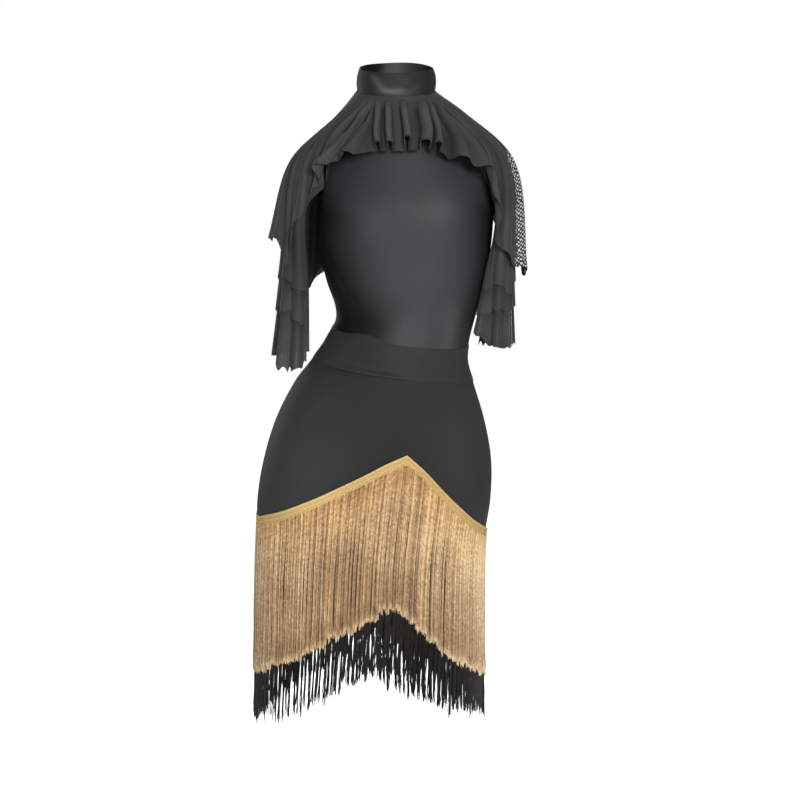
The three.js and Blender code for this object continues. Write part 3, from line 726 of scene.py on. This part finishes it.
def makeBand(panel):
    b = bandSizes

    def liftAt(angle, v):
        # the lower edge rolls out a little on the raised hip, and the edges lie flat elsewhere
        raised = smoothStep(-60, -38, angle) * (1 - smoothStep(-7, 5, angle))
        roll = b["roll"] * raised * bump(v - 0.96, 0.06) - 0.7 * raised * bump(v - 0.84, 0.06)
        edges = 0.45 * (bump(v, 0.05) + bump(v - 1, 0.05) * (1 - raised))
        return b["off"] + roll - edges + 0.3 * ripple(angle, v * 2, 21, 4, 12, 2) * np.sin(np.pi * v)

    makePanel(("band", "waistband_"), panel, b,
              lambda a: (bandLine(bandTop, a), bandLine(bandFoot, a)), liftAt, bandShade, b["thick"])


def makeSkirt(panel):
    s = skirtSizes

    def liftAt(angle, v):
        # drag lines run down from the raised hip; the cloth is taut over the widest part
        soft = s["crease"] * ripple(angle, v * 3, 31, 5, 8, 4) * np.sin(np.pi * v) ** 0.6
        drag = 0.8 * bump((angle + 48) / 20 + (v - 0.16) * 7, 0.35) * bump(v - 0.16, 0.12)
        return knitThick / 2 + soft + drag

    makePanel(("skirt", "skirt_"), panel, s,
              lambda a: (bandLine(bandFoot, a) - s["tuck"], fringeLine("hem", a) + braidTall),
              liftAt, skirtShade, knitThick)


# cape
# rib, angle at the neck seam, then ridge, fall and hem points down the rib
capeRibs = np.array([
    (-14, -180, 2, 74, -14, 6, 94, -50, 9, 108, -112),
    (-13, -148, -40, 64, -18, -52, 88, -56, -56, 104, -120),
    (-12, -126, -60, 48, -24, -88, 76, -66, -104, 92, -250),
    (-11, -114, -73, 34, -28, -115, 58, -82, -134, 74, -284),
    (-10, -105, -81, 22, -30, -137, 42, -96, -158, 54, -246),
    (-9, -98, -86, 11, -30, -149, 26, -98, -175, 34, -212),
    (-8, -92, -88, 0, -29, -155, 2, -97, -185, 0, -218),
    (-7, -86, -87, -9, -29, -150, -22, -98, -176, -42, -214),
    (-6, -80, -84, -18, -29, -143, -40, -98, -159, -63, -256),
    (-5, -73, -79, -27, -28, -129, -50, -94, -143, -72, -196),
    (-4, -64, -71, -36, -28, -111, -56, -82, -121, -76, -156),
    (-3, -53, -57, -48, -28, -80, -68, -66, -108, -84, -114),
    (-2, -38, -41, -60, -30, -52, -76, -60, -66, -92, -95),
    (-1, -20, -21, -70, -31, -26, -86, -60, -29, -97, -89),
    (0, 0, 4, -74, -32, 9, -88, -60, 13, -98, -89),
    (1, 20, 27, -70, -31, 38, -86, -60, 46, -98, -89),
    (2, 38, 48, -60, -30, 66, -76, -60, 80, -94, -94),
    (3, 53, 66, -48, -28, 94, -66, -64, 112, -90, -109),
    (4, 64, 80, -37, -27, 118, -57, -72, 139, -80, -124),
    (5, 73, 90, -27, -27, 140, -50, -88, 150, -66, -204),
    (6, 80, 98, -18, -27, 158, -41, -98, 162, -60, -246),
    (7, 86, 102, -9, -26, 170, -24, -99, 180, -40, -258),
    (8, 92, 104, 0, -27, 174, 0, -98, 191, -4, -268),
    (9, 98, 102, 11, -27, 171, 24, -100, 188, 32, -262),
    (10, 105, 98, 22, -28, 158, 42, -98, 174, 54, -250),
    (11, 114, 90, 34, -28, 136, 58, -84, 158, 74, -204),
    (12, 126, 74, 48, -24, 104, 76, -66, 126, 96, -150),
    (13, 148, 44, 64, -18, 62, 88, -56, 72, 104, -118),
    (14, 180, 2, 74, -14, 6, 94, -50, 9, 108, -112),
])
# rib, rise, width in ribs, how much shorter the hem hangs
capeFlutes = [
    (-12.6, 9, 0.3, 4), (-11.5, 8, 0.3, 4), (-9.5, 7, 0.32, 4), (-8.2, 6, 0.3, 4), (-6.9, 6, 0.32, 5),
    (-5.2, 7, 0.34, 4), (-4.1, 7, 0.34, 4), (-3.15, 9, 0.26, 4), (-2.2, 8, 0.22, 5), (0.9, 5, 0.5, 2),
    (2.6, 8, 0.36, 1), (3.7, 7, 0.34, 0), (4.7, 7, 0.3, 1), (6, 7, 0.34, 4), (7.4, 6, 0.34, 4),
    (9.4, 7, 0.34, 4), (10.8, 8, 0.34, 4), (12, 10, 0.34, 5), (13.1, 11, 0.32, 5), (14, 11, 0.3, 5),
]
# narrow pipes down the front: rib at the hem, how many ribs off that they start at the neck,
# radius, rise, how far round each side of it goes in degrees and how much shorter the hem hangs
capePipes = [
    (-0.9, -0.4, 3.7, 10, 155, 11), (-0.5, -0.1, 3.7, 10, 155, 11), (0.1, 0.34, 4.3, 12, 155, 18),
    (0.84, 1.1, 8.5, 10, 120, 9), (1.42, 1.2, 4.2, 8, 140, 10),
]
# rib, slant in ribs, start down the cape, width in ribs and rise of the shoulders' main creases
capeCreases = [
    (-1.9, -1.25, 0, 0.15, 6.5), (-2.25, -1.25, 0, 0.15, -6), (-2.6, -1.3, 0.05, 0.16, 6),
    (-2.95, -1.3, 0.1, 0.16, -5), (-1.55, -0.7, 0.05, 0.12, 4.5), (-1.72, -0.75, 0.05, 0.1, -4),
    (-4.3, -0.8, 0.15, 0.22, 5), (-5.2, 0.2, 0.2, 0.2, -3.5), (-6.3, 0.3, 0.3, 0.24, 3.5),
    (-7.3, 0.2, 0.4, 0.2, -3), (3.15, -1.15, 0, 0.16, -8), (3.4, -0.9, 0, 0.2, 4), (3.2, 0.6, 0.1, 0.22, 4),
    (3.35, 1.1, 0.1, 0.16, -6), (3.65, 1.1, 0.1, 0.2, 5), (4.3, 1, 0.2, 0.2, -4),
    (5.6, -0.3, 0.2, 0.22, -3.5), (9.3, 0.3, 0.3, 0.3, 3.5), (10.4, 0.3, 0.2, 0.26, -3.5),
    (12.4, 0.3, 0.1, 0.3, 4), (13.4, -0.3, 0.1, 0.24, -4), (-13.2, 0.3, 0.1, 0.26, 4),
    (-12.2, -0.3, 0.1, 0.24, -4), (-10.2, 0.3, 0.2, 0.3, 4),
]
coarseAt = 6.95
# dense: how much closer the columns lie down the front, where the pipes are narrow
capeSizes = {"columns": 760, "rows": 60, "thick": 0.6, "folds": 58, "foldSeed": 41, "dense": 2.6,
             "denseWide": 1.9, "off": 0.6, "flutter": 0.8, "neckOut": 2, "neckUp": 0.4, "tilt": 0.35}


# centripetal Catmull-Rom through four points, v from 0 to 1
def throughPoints(places, v):
    p = np.stack([2 * places[0] - places[1]] + list(places) + [2 * places[-1] - places[-2]])
    gaps = np.sqrt(np.linalg.norm(np.diff(p, axis=0), axis=-1)) + 1e-6
    n = len(places) - 1
    at = np.clip(v * n, 0, n - 1e-9)
    seg = at.astype(int)
    t = (at - seg)[..., None]
    column = np.arange(len(seg))
    p0, p1, p2, p3 = (p[seg + k, column] for k in range(4))
    d0, d1, d2 = (gaps[seg + k, column][..., None] for k in range(3))
    leave = ((p1 - p0) / d0 - (p2 - p0) / (d0 + d1) + (p2 - p1) / d1) * d1
    arrive = ((p2 - p1) / d1 - (p3 - p1) / (d1 + d2) + (p3 - p2) / d2) * d1
    return hermite(p1, leave, p2, arrive, t)


# ribs are counted from the front, 14 to each side
def fromFrontRib(rib):
    return (rib + 14) % 28 - 14


# how far a point lies from a pipe's middle, and the pipe's half width, both in ribs
def pipePlace(rib, v, at, slant, radius):
    return rib - at - slant * (1 - v), 1.15 * radius / ribPitch(v)


# mm from rib to rib down the front
def ribPitch(v):
    return 20 + 20 * v


def capePoint(u, v):
    c = capeSizes
    rib = fromFrontRib(u)
    row = readTable(capeRibs, rib)
    seam = row[..., 0]
    start = neckPoint(seam, c["neckOut"], c["neckUp"])
    place = throughPoints([start, row[..., 1:4], row[..., 4:7], row[..., 7:10]], v)
    a = np.radians(seam)
    out = unit(np.stack([np.sin(a), -np.cos(a), c["tilt"] + 0 * a], -1))
    for at, rise, wide, up in capeFlutes:
        gap = fromFrontRib(rib - at)
        place = place + out * (rise * bump(gap, wide) * v ** 1.5)[..., None]
        place[..., 2] += up * np.exp(-np.abs(gap / (wide * 1.1)) ** 6) * np.maximum(v, 0) ** 2.6
    along = np.stack([np.cos(a), np.sin(a), 0 * a], -1)
    grown = smoothStep(0.02, 0.3, v)
    for at, slant, radius, rise, reach, up in capePipes:
        # each pipe is most of a round roll, and draws the cloth beside it in
        half = math.radians(reach)
        gap, wide = pipePlace(rib, v, at, slant, radius)
        turn = np.clip(gap / wide, -1, 1) * half
        past = np.maximum(np.abs(gap / wide) - 1, 0)
        shift = (radius * np.sin(turn) - np.clip(gap, -wide, wide) * ribPitch(v)) * bump(past, 0.9)
        height = (np.cos(turn) - math.cos(half)) / (1 - math.cos(half))
        place = place + along * (shift * grown)[..., None] + out * (rise * height * grown)[..., None]
        place[..., 2] += up * np.exp(-np.abs(gap / (wide * 0.75)) ** 6) * np.maximum(v, 0) ** 4
    return place


# painted shade in the grooves and painted highlight on the ridges of the cape, each 0 to 1
def capeShadeAndHighlight(rib, v):
    deep, high = 0 * v, 0 * v
    grown = smoothStep(0.08, 0.3, v)
    for at, slant, radius, *_ in capePipes:
        gap, wide = pipePlace(rib, v, at, slant, radius)
        across = np.abs(gap) / wide
        deep = deep + 0.75 * bump(across - 1.3, 0.45) * grown
        high = high + 0.8 * bump(across, 0.4) * grown * (1 - smoothStep(0.9, 1, v))
    folds = foldLift(rib, v) * smoothStep(1.2, 1.9, np.abs(rib))
    return deep + np.clip(-folds / 14, 0, 0.5), high + np.clip(folds / 18, 0, 0.35)


# fine folds: each starts somewhere below the neck, slants a little and grows to the hem
def foldLift(rib, v):
    rng = np.random.default_rng(capeSizes["foldSeed"])
    total = 0
    for at, slant, begins, wide, rise in capeCreases:
        gap = fromFrontRib(rib - at - slant * (v - begins))
        total = total + rise * bump(gap, wide * (0.6 + 0.6 * v)) * smoothStep(begins, begins + 0.35, v)
    for _ in range(capeSizes["folds"]):
        at, slant = rng.uniform(-14, 14), rng.uniform(-0.7, 0.7)
        begins, wide, rise = rng.uniform(0.05, 0.5), rng.uniform(0.1, 0.26), rng.uniform(-2.6, 2.2)
        gap = fromFrontRib(rib - at - slant * (v - begins))
        total = total + rise * bump(gap, wide * (0.5 + v)) * smoothStep(begins, 1, v)
    return total


def makeCape():
    c = capeSizes
    piece, u, v = clothGrid("netCape", c["columns"], c["rows"])
    even = np.linspace(-14, 14, 2001)
    run = np.cumsum(1 + c["dense"] * bump(even - 0.2, c["denseWide"]))
    rib = np.interp(u, (run - run[0]) / (run[-1] - run[0]), even)
    lift = c["off"] + foldLift(rib, v) * (0.15 + 0.85 * smoothStep(1.2, 1.9, np.abs(rib)))
    # the cut edge curls and flutters
    lift = lift + c["flutter"] * ripple(rib * 360 / 28, v * 2, 43, 5, 60, 2) * smoothStep(0.75, 1, v)
    layPoints(piece, outwards(capePoint, rib, v, lift))
    places = pointRows(piece, "co").reshape(c["rows"] + 1, c["columns"] + 1, 3) / mm
    down = np.zeros(places.shape[:2])
    down[:-1] = np.cumsum(np.linalg.norm(np.diff(places[::-1], axis=0), axis=2), axis=0)[::-1]
    down = down.ravel()
    clothUv(piece, (rib - coarseAt) * (12.7 + 0.075 * down), down)
    # coarser net where it is stretched over the wearer's left arm, with the light through its gaps painted
    # on
    coarse = bump(rib - coarseAt - 0.3 * v, 0.78 - 0.35 * v) * smoothStep(0.57, 0.7, v)
    markCloth(piece, "coarseNet", coarse * (1 - 0.4 * smoothStep(0.94, 1, v)))
    # light shines through a little at the hem and at the corner over the wearer's right arm, and that
    # corner is also painted lighter
    corner = smoothStep(0.6, 0.85, v) * (1 - smoothStep(0.96, 0.99, v))
    shine = corner * bump(rib + 7.5, 0.5)
    tip = bump(rib - 8.2, 0.4) * smoothStep(0.9, 0.98, v)
    markCloth(piece, "sheer", 0.3 * shine + 0.33 * tip + 0.1 * smoothStep(0.97, 1, v))
    # painted shade in the grooves, painted highlight on the ridges and on that corner
    deep, high = capeShadeAndHighlight(rib, v)
    markCloth(piece, "depth", deep)
    markCloth(piece, "lit", high + 0.9 * shine)
    # cut as a full circle with a hole for the neck
    hem, _, area = measureCut(piece, c["columns"])
    shell(piece, c["thick"], ring=True)
    register(piece, capeNet, ["cape"])


# sleeve tiers
sleeves = {
    "right": {"side": -1, "fore": 20, "seam": (107.5, 12), "top": (140, 14), "foot": (147.5, 35)},
    "left": {"side": 1, "fore": 10, "seam": (143, 3), "top": (160, 9), "foot": (147, 28)},
}
# depth of a sleeve at its seam, its top and its foot, and how it drops and rises outwards
sleeveDepth = {"seam": 38, "top": 40, "foot": 40}
sleeveDrop = {"seam": (119, 45), "top": (152, 34)}
# angle round the arm, then the drop of the upper, middle and lower hem
tierHems = {
    "right": np.array([(-60, 302, 356, 384), (-28, 297, 350, 398), (-8, 291, 341, 409), (40, 273, 323, 412),
                       (58, 270, 321, 392), (90, 272, 320, 388), (240, 290, 324, 380)]),
    "left": np.array([(-60, 292, 327, 350), (-20, 290, 325, 372), (40, 286, 320, 378), (90, 278, 311, 372),
                      (150, 282, 314, 374), (240, 288, 320, 372)]),
}
# angle round the arm, rise and width of the flutes that all tiers share
sleeveFlutes = {
    "right": [(-18, -3, 8), (4, 4.5, 9), (24, -4, 8), (47, 4, 8), (66, -3, 7), (104, 3, 9), (150, -3, 9),
              (176, 4, 10)],
    "left": [(-48, 10, 15), (-16, -4, 8), (8, 4.5, 8), (31, -4, 8), (52, 4, 7), (74, -2.5, 7), (118, 3, 9),
             (164, -4, 9), (196, 4, 9)],
}
hemJags = {"rise": 5.5, "turns": 17, "frill": 7}
tiers = {
    "upper": {"lift": 3.2, "flare": 2.0, "right": (-24, 206), "left": (-36, 222), "column": 0},
    "middle": {"lift": 1.6, "flare": 1.0, "right": (-26, 208), "left": (-50, 236), "column": 1},
    "lower": {"lift": 0.0, "flare": 0.0, "right": (-28, 210), "left": (-60, 240), "column": 2},
}


def sleevePoint(arm, angle, v):
    s = sleeves[arm]
    a = np.radians(angle)
    out = np.sin(a)
    hem = readTable(tierHems[arm], angle)[..., 2]

    def loop(place, outer, z, fore=0):
        x = s[place][0] + s[place][1] * outer
        return np.stack([s["side"] * x, -sleeveDepth[place] * np.cos(a) - fore, z], -1)

    start, shoulder = (loop(place, outer, sleeveDrop[place][1] * out - sleeveDrop[place][0])
                       for place, outer in (("seam", out * out), ("top", out)))
    end = loop("foot", out, -hem, s["fore"])
    elbow = (end + shoulder) / 2
    place = throughPoints([start, shoulder, elbow, end], v)
    wave = 3 * v * v * np.cos(np.radians(angle * 8 + 20))
    for at, rise, wide in sleeveFlutes[arm]:
        wave = wave + rise * bump(angle - at, wide) * v ** 2.2
    place[..., 0] += s["side"] * wave * out
    place[..., 1] -= wave * np.cos(a)
    return place


def hemShare(arm, angle, hem):
    low, high = 0.2 + 0 * angle, 1 + 0 * angle
    for _ in range(24):
        middle = (low + high) / 2
        short = -sleevePoint(arm, angle, middle)[..., 2] < hem
        low, high = np.where(short, middle, low), np.where(short, high, middle)
    return high


tierGrid = {"columns": 150, "rows": 46, "thick": 0.5, "off": 0.6, "weaveRound": 0.8, "weaveDown": 300}


# how far down the hem of a tier lies: it dips and rises in frills, and the lowest is ragged
def tierHem(arm, name, angle):
    column = tiers[name]["column"]
    seed = 60 + column + (10 if arm == "left" else 0)
    jags = hemJags["rise"] * ripple(angle, 0 * angle, seed, 4, hemJags["turns"], 0) * (0.3 + 0.35 * column)
    frill = hemJags["frill"] * ripple(angle, 0 * angle, seed + 5, 3, 6, 0) * (1 - 0.4 * column)
    return readTable(tierHems[arm], angle)[..., column] - np.abs(jags) + frill + 2


def makeTier(arm, name):
    t = tiers[name]
    piece, u, v = clothGrid(arm + "Sleeve" + name.capitalize(), tierGrid["columns"], tierGrid["rows"])
    start, end = t[arm]
    angle = start + (end - start) * u
    hem = hemShare(arm, angle, tierHem(arm, name, angle))
    share = v * hem
    side = sleeves[arm]["side"]
    crinkle = 0.25 * ripple(angle, v * 3, 50 + t["column"], 4, 22, 3) * v
    lift = t["lift"] + t["flare"] * share + tierGrid["off"] + crinkle
    place = outwards(lambda a, w: sleevePoint(arm, a, w), angle, share, lift, side)
    layPoints(piece, place)
    if name != "upper":
        # shade just below the hem of the tier above
        under = -place[:, 2] - tierHem(arm, "upper" if name == "middle" else "middle", angle)
        markCloth(piece, "depth", 0.7 * smoothStep(-3, 1, under) * np.exp(-np.maximum(under, 0) / 11))
    clothUv(piece, angle * tierGrid["weaveRound"], share * tierGrid["weaveDown"])
    if name == "lower":
        # the left sleeve's outer side is see-through, but not its folded edge
        outer = np.sin(np.radians(angle))
        if arm == "left":
            sheer = smoothStep(0.68, 0.76, outer) * (1 - 0.9 * smoothStep(0.975, 0.99, outer))
            sheer = sheer * smoothStep(0.72, 0.8, v)
        else:
            sheer = 0.04 * bump(angle + 8, 14) * smoothStep(0.9, 0.96, v)
        markCloth(piece, "sheer", sheer + 0.04 * smoothStep(0.84, 0.94, v))
    cut = measureCut(piece, tierGrid["columns"])
    shell(piece, tierGrid["thick"])
    register(piece, capeNet, [arm + "_sleeve_" + name])


# fringes
# swing: how far the ends lean to the wearer's right; hang: how far off the form they end
# clumps: how many cords the threads draw together into, how far, how regularly (loose) and from
# where down (starts); ragged, stray and uneven: how much the ends of threads and cords differ
# ridge: how far a cord's middle stands out; cornerShort and cornerStray: the ends at the sides
fringes = {
    "gold": {"strands": 3000, "wide": 1.35, "swing": 2.5, "hang": 5.8, "ragged": 1.2, "stray": 1.6,
             "clumps": 300, "clump": 0.45, "starts": -0.3, "loose": 0.28, "wander": 0.12, "uneven": 3.4,
             "ridge": 1.2, "cordTone": 0.13, "cornerShort": 0, "cornerStray": 0, "seed": 7},
    "hem": {"strands": 2100, "wide": 1.35, "swing": 5.6, "hang": 4.0, "ragged": 2.2, "stray": 5,
            "clumps": 150, "clump": 0.78, "starts": 0.3, "loose": 0.55, "wander": 0.3, "uneven": 4.5,
            "ridge": 0.8, "cordTone": 0.08, "cornerShort": 8, "cornerStray": 22, "seed": 8},
}
threadLong = 214
threadSpread = 1.4  # depth of the layers of thread
strandStops = np.array([0, 0.08, 0.22, 0.4, 0.58, 0.74, 0.88, 0.97, 1.0])


def evenAngles(row, count):
    fine = np.linspace(0, 360, 1441)
    spots = bodyPoint(fine, fringeLine(row, fine))[:, :2]
    run = np.concatenate([[0], np.cumsum(np.linalg.norm(np.diff(spots, axis=0), axis=1))])
    return np.interp((np.arange(count) + 0.5) / count * run[-1], run, fine)


# many small closed shapes in one piece, such as threads or stitches
def pieceFromPoints(name, points, faces, tones, across, down):
    mesh = bpy.data.meshes.new(name)
    mesh.from_pydata((points * mm).reshape(-1, 3), [], faces)
    piece = bpy.data.objects.new(name, mesh)
    bpy.context.collection.objects.link(piece)
    markCloth(piece, "strandTone", tones)
    clothUv(piece, across, down)
    faceOut(piece)
    smooth(piece)
    return piece


# where the strands hang from, with the point of the braid rounded a little
def softPoint(row, angle):
    return sum(fringeLine(row, angle + turn) for turn in (-1.5, 0, 1.5)) / 3


def makeStrands(name, row, material, cadNode):
    f = fringes[row]
    rng = np.random.default_rng(f["seed"])
    count = f["strands"]
    angle = evenAngles(row, count) + rng.normal(0, 0.05, count)
    # each strand is drawn towards the middle of its own clump
    middles = np.sort(evenAngles(row, f["clumps"]) + rng.normal(0, f["loose"], f["clumps"]))
    group = np.abs(angle[:, None] - middles[None]).argmin(axis=1)
    depth = rng.uniform(0, 1, count)
    # the threads behind hang evenly and fill the gaps between the cords
    pull = (middles[group] - angle) * f["clump"] * rng.uniform(0.6, 1.1, count)
    side = fromFront(angle)
    if row == "gold":
        pull = pull * smoothStep(0.25, 0.6, depth)
    else:
        pull = pull * (0.6 + 0.4 * smoothStep(8, 42, np.abs(side)))
    lean = -f["swing"] * (0.3 + 0.7 * np.maximum(np.cos(np.radians(angle)), 0))
    root = softPoint(row, angle) + braidTall - 1.5
    groupDrop = rng.normal(0, f["uneven"], f["clumps"])[group]
    long = threadLong - 1 - 8 * smoothStep(5, 60, side) * (1 - smoothStep(120, 180, side))
    long = long - f["cornerShort"] * smoothStep(58, 84, -side) * (1 - smoothStep(96, 122, -side))
    stray = f["stray"] + f["cornerStray"] * bump(np.abs(side) - 72, 26)
    foot = root + long + groupDrop + rng.normal(0, f["ragged"], count)
    foot = foot - np.minimum(rng.exponential(1, count) * stray, 70)
    across = (angle - middles[group]) / (180 / f["clumps"])
    ridge = np.clip(1 - across ** 2, -0.6, 1)
    # every other cord is darker, so that no wide bands form
    cordTone = rng.normal(0, 0.7, f["clumps"]) + 0.7 * (-1.0) ** np.arange(f["clumps"])
    # painted light and shade: threads further out and in the middles of the cords are lighter, those behind
    # darker
    tone = 0.24 + 0.36 * depth + 0.16 * ridge + f["cordTone"] * cordTone[group] + rng.normal(0, 0.08, count)
    # painted shade on the wearer's right side, lighter towards the front and the left
    tone = tone + 0.09 * smoothStep(-60, 10, side)
    phase, pace = rng.uniform(0, 6.28, count), rng.uniform(3, 9, count)
    sway = rng.normal(0, f["wander"], count)
    curl = rng.normal(0.3, 1, (count, 2))
    rings = []
    for stop in strandStops:
        drop = root + (foot - root) * stop
        here = angle + lean * stop + pull * smoothStep(f["starts"], 0.95, stop)
        here = here + sway * np.sin(pace * stop + phase) * min(1, stop * 4)
        half = overBody + (f["hang"] - overBody) * 0.6
        lift = np.interp(stop, [0, 0.45, 1], [overBody + 0.9, half, f["hang"]])
        lift = lift + (depth - 0.45) * threadSpread * min(1, 0.25 + stop * 3) + 0.5
        lift = lift + f["ridge"] * (ridge - 0.5) * min(1, stop * 8)
        bend = smoothStep(0.86, 1, stop)
        centre = bodyPoint(here, drop, lift)
        along = unit(bodyPoint(here + 0.5, drop, lift) - bodyPoint(here - 0.5, drop, lift))
        out = np.stack([along[:, 1], -along[:, 0], 0 * along[:, 0]], -1)
        centre = centre + along * (curl[:, :1] * bend) + out * (0.4 * np.abs(curl[:, 1:]) * bend)
        half = f["wide"] * (1 - 0.2 * stop) * (0.75 if stop == 1 else 1) / 2
        for turn in (90, 210, 330):
            turn = math.radians(turn)
            rings.append(centre + along * (math.cos(turn) * half) + out * (math.sin(turn) * half))
    points = np.stack(rings, 1)
    per = points.shape[1]
    sides = [(ring + i, ring + j, ring + 3 + j, ring + 3 + i)
             for ring in range(0, per - 3, 3) for i, j in ((0, 1), (1, 2), (2, 0))]
    ends = [(0, 2, 1), (per - 3, per - 2, per - 1)]
    starts = (np.arange(count) * per)[:, None, None]
    quads = (np.array(sides)[None] + starts).reshape(-1, 4).tolist()
    caps = (np.array(ends)[None] + starts).reshape(-1, 3).tolist()
    down = np.tile(np.repeat(strandStops, 3), count) * threadLong
    # threads of one cord share their crinkles, and each cord has its own
    run = np.repeat(group * 37.0 + across * 1.5, per)
    piece = pieceFromPoints(name, points, quads + caps, np.repeat(tone, per), run, down)
    register(piece, material, [cadNode])


braidSizes = {"columns": 1300, "rows": 10, "thick": 1.3, "cord": 0.55, "pitch": 2.6, "mmPerDegree": 2.9}


# a woven band: a raised cord along each edge, slanted threads between them
def makeBraid(name, row, material):
    b = braidSizes
    piece, u, v = clothGrid(name, b["columns"], b["rows"])
    angle = 360 * u - 180
    run = angle * b["mmPerDegree"]
    edges = bump(v - 0.1, 0.09) + bump(v - 0.9, 0.09) + 0.8 * bump(v - 0.62, 0.07)
    slant = np.sin(2 * np.pi * (run / b["pitch"] + 3 * np.abs(v - 0.36)))
    lift = overBody + 0.7 + b["cord"] * edges * (0.75 + 0.25 * slant) + 0.16 * slant
    layPoints(piece, bodyPoint(angle, fringeLine(row, angle) + braidTall * v, lift))
    # painted highlight on the raised cords and slanted threads, painted shade in the groove between the
    # middle and lower cords
    markCloth(piece, "strandTone", 0.35 + 0.4 * edges + 0.3 * slant - 0.35 * bump(v - 0.78, 0.06))
    clothUv(piece, run, v * braidTall + 80)
    shell(piece, b["thick"], ring=True)
    register(piece, material)


# stitches
stitchSizes = {"long": 2.3, "wide": 0.42, "high": 0.3, "tone": 0.6}


# a row of short stitches; line gives angle, drop and lift for shares from 0 to 1
def makeStitches(name, line, count):
    s = stitchSizes
    share = (np.arange(count) + 0.5) / count
    middle = bodyPoint(*line(share))
    ahead = unit(bodyPoint(*line(share + 0.2 / count)) - bodyPoint(*line(share - 0.2 / count)))
    angle, drop, lift = line(share)
    out = unit(bodyPoint(angle, drop, lift + 1) - middle)
    across = np.cross(ahead, out)
    corners = [(-0.5, 0, 0), (-0.2, 0.5, 0.5), (0.2, 0.5, 0.5), (0.5, 0, 0), (0.2, -0.5, 0.5),
               (-0.2, -0.5, 0.5), (-0.2, 0, 1), (0.2, 0, 1), (-0.2, 0, -0.6), (0.2, 0, -0.6)]
    points = np.stack([middle + ahead * (a * s["long"]) + across * (b * s["wide"]) + out * (c * s["high"])
                       for a, b, c in corners], 1)
    faces = [(0, 6, 1), (0, 5, 6), (1, 6, 7, 2), (6, 5, 4, 7), (2, 7, 3), (7, 4, 3),
             (0, 1, 8), (0, 8, 5), (1, 2, 9, 8), (8, 9, 4, 5), (2, 3, 9), (9, 3, 4)]
    starts = np.arange(count) * len(corners)
    allFaces = [tuple(int(i + start) for i in face) for start in starts for face in faces]
    tones, run = np.full(count * len(corners), s["tone"]), np.repeat(share * 700, len(corners))
    piece = pieceFromPoints(name, points, allFaces, tones, run, 0 * run)
    register(piece, sewingThread)


def sewSeams():
    off = bandSizes["off"] + bandSizes["thick"] / 2
    makeStitches("stitchBandTop", lambda s: (360 * s, bandLine(bandTop, 360 * s) + 4, off), 210)
    makeStitches("stitchBandFoot", lambda s: (360 * s, bandLine(bandFoot, 360 * s) - 6, off), 230)
    makeStitches("stitchHem", lambda s: (360 * s, fringeLine("hem", 360 * s) - 5, knitThick), 320)


makeCollar()
print("collar made")
for side in ("front", "back"):
    makeBodice(side)
print("bodice made")
for makeOne in (makeBand, makeSkirt):
    for panel in panels:
        makeOne(panel)
print("waistband and skirt made")
makeCape()
for arm in ("right", "left"):
    for name in tiers:
        makeTier(arm, name)
print("cape and sleeves made")
makeStrands("goldStrands", "gold", goldThread, "gold_fringe")
makeBraid("goldBraid", "gold", goldBraidFinish)
makeStrands("blackStrands", "hem", blackThread, "black_fringe")
makeBraid("blackBraid", "hem", blackThread)
print("fringes made")
sewSeams()
print("seams sewn")
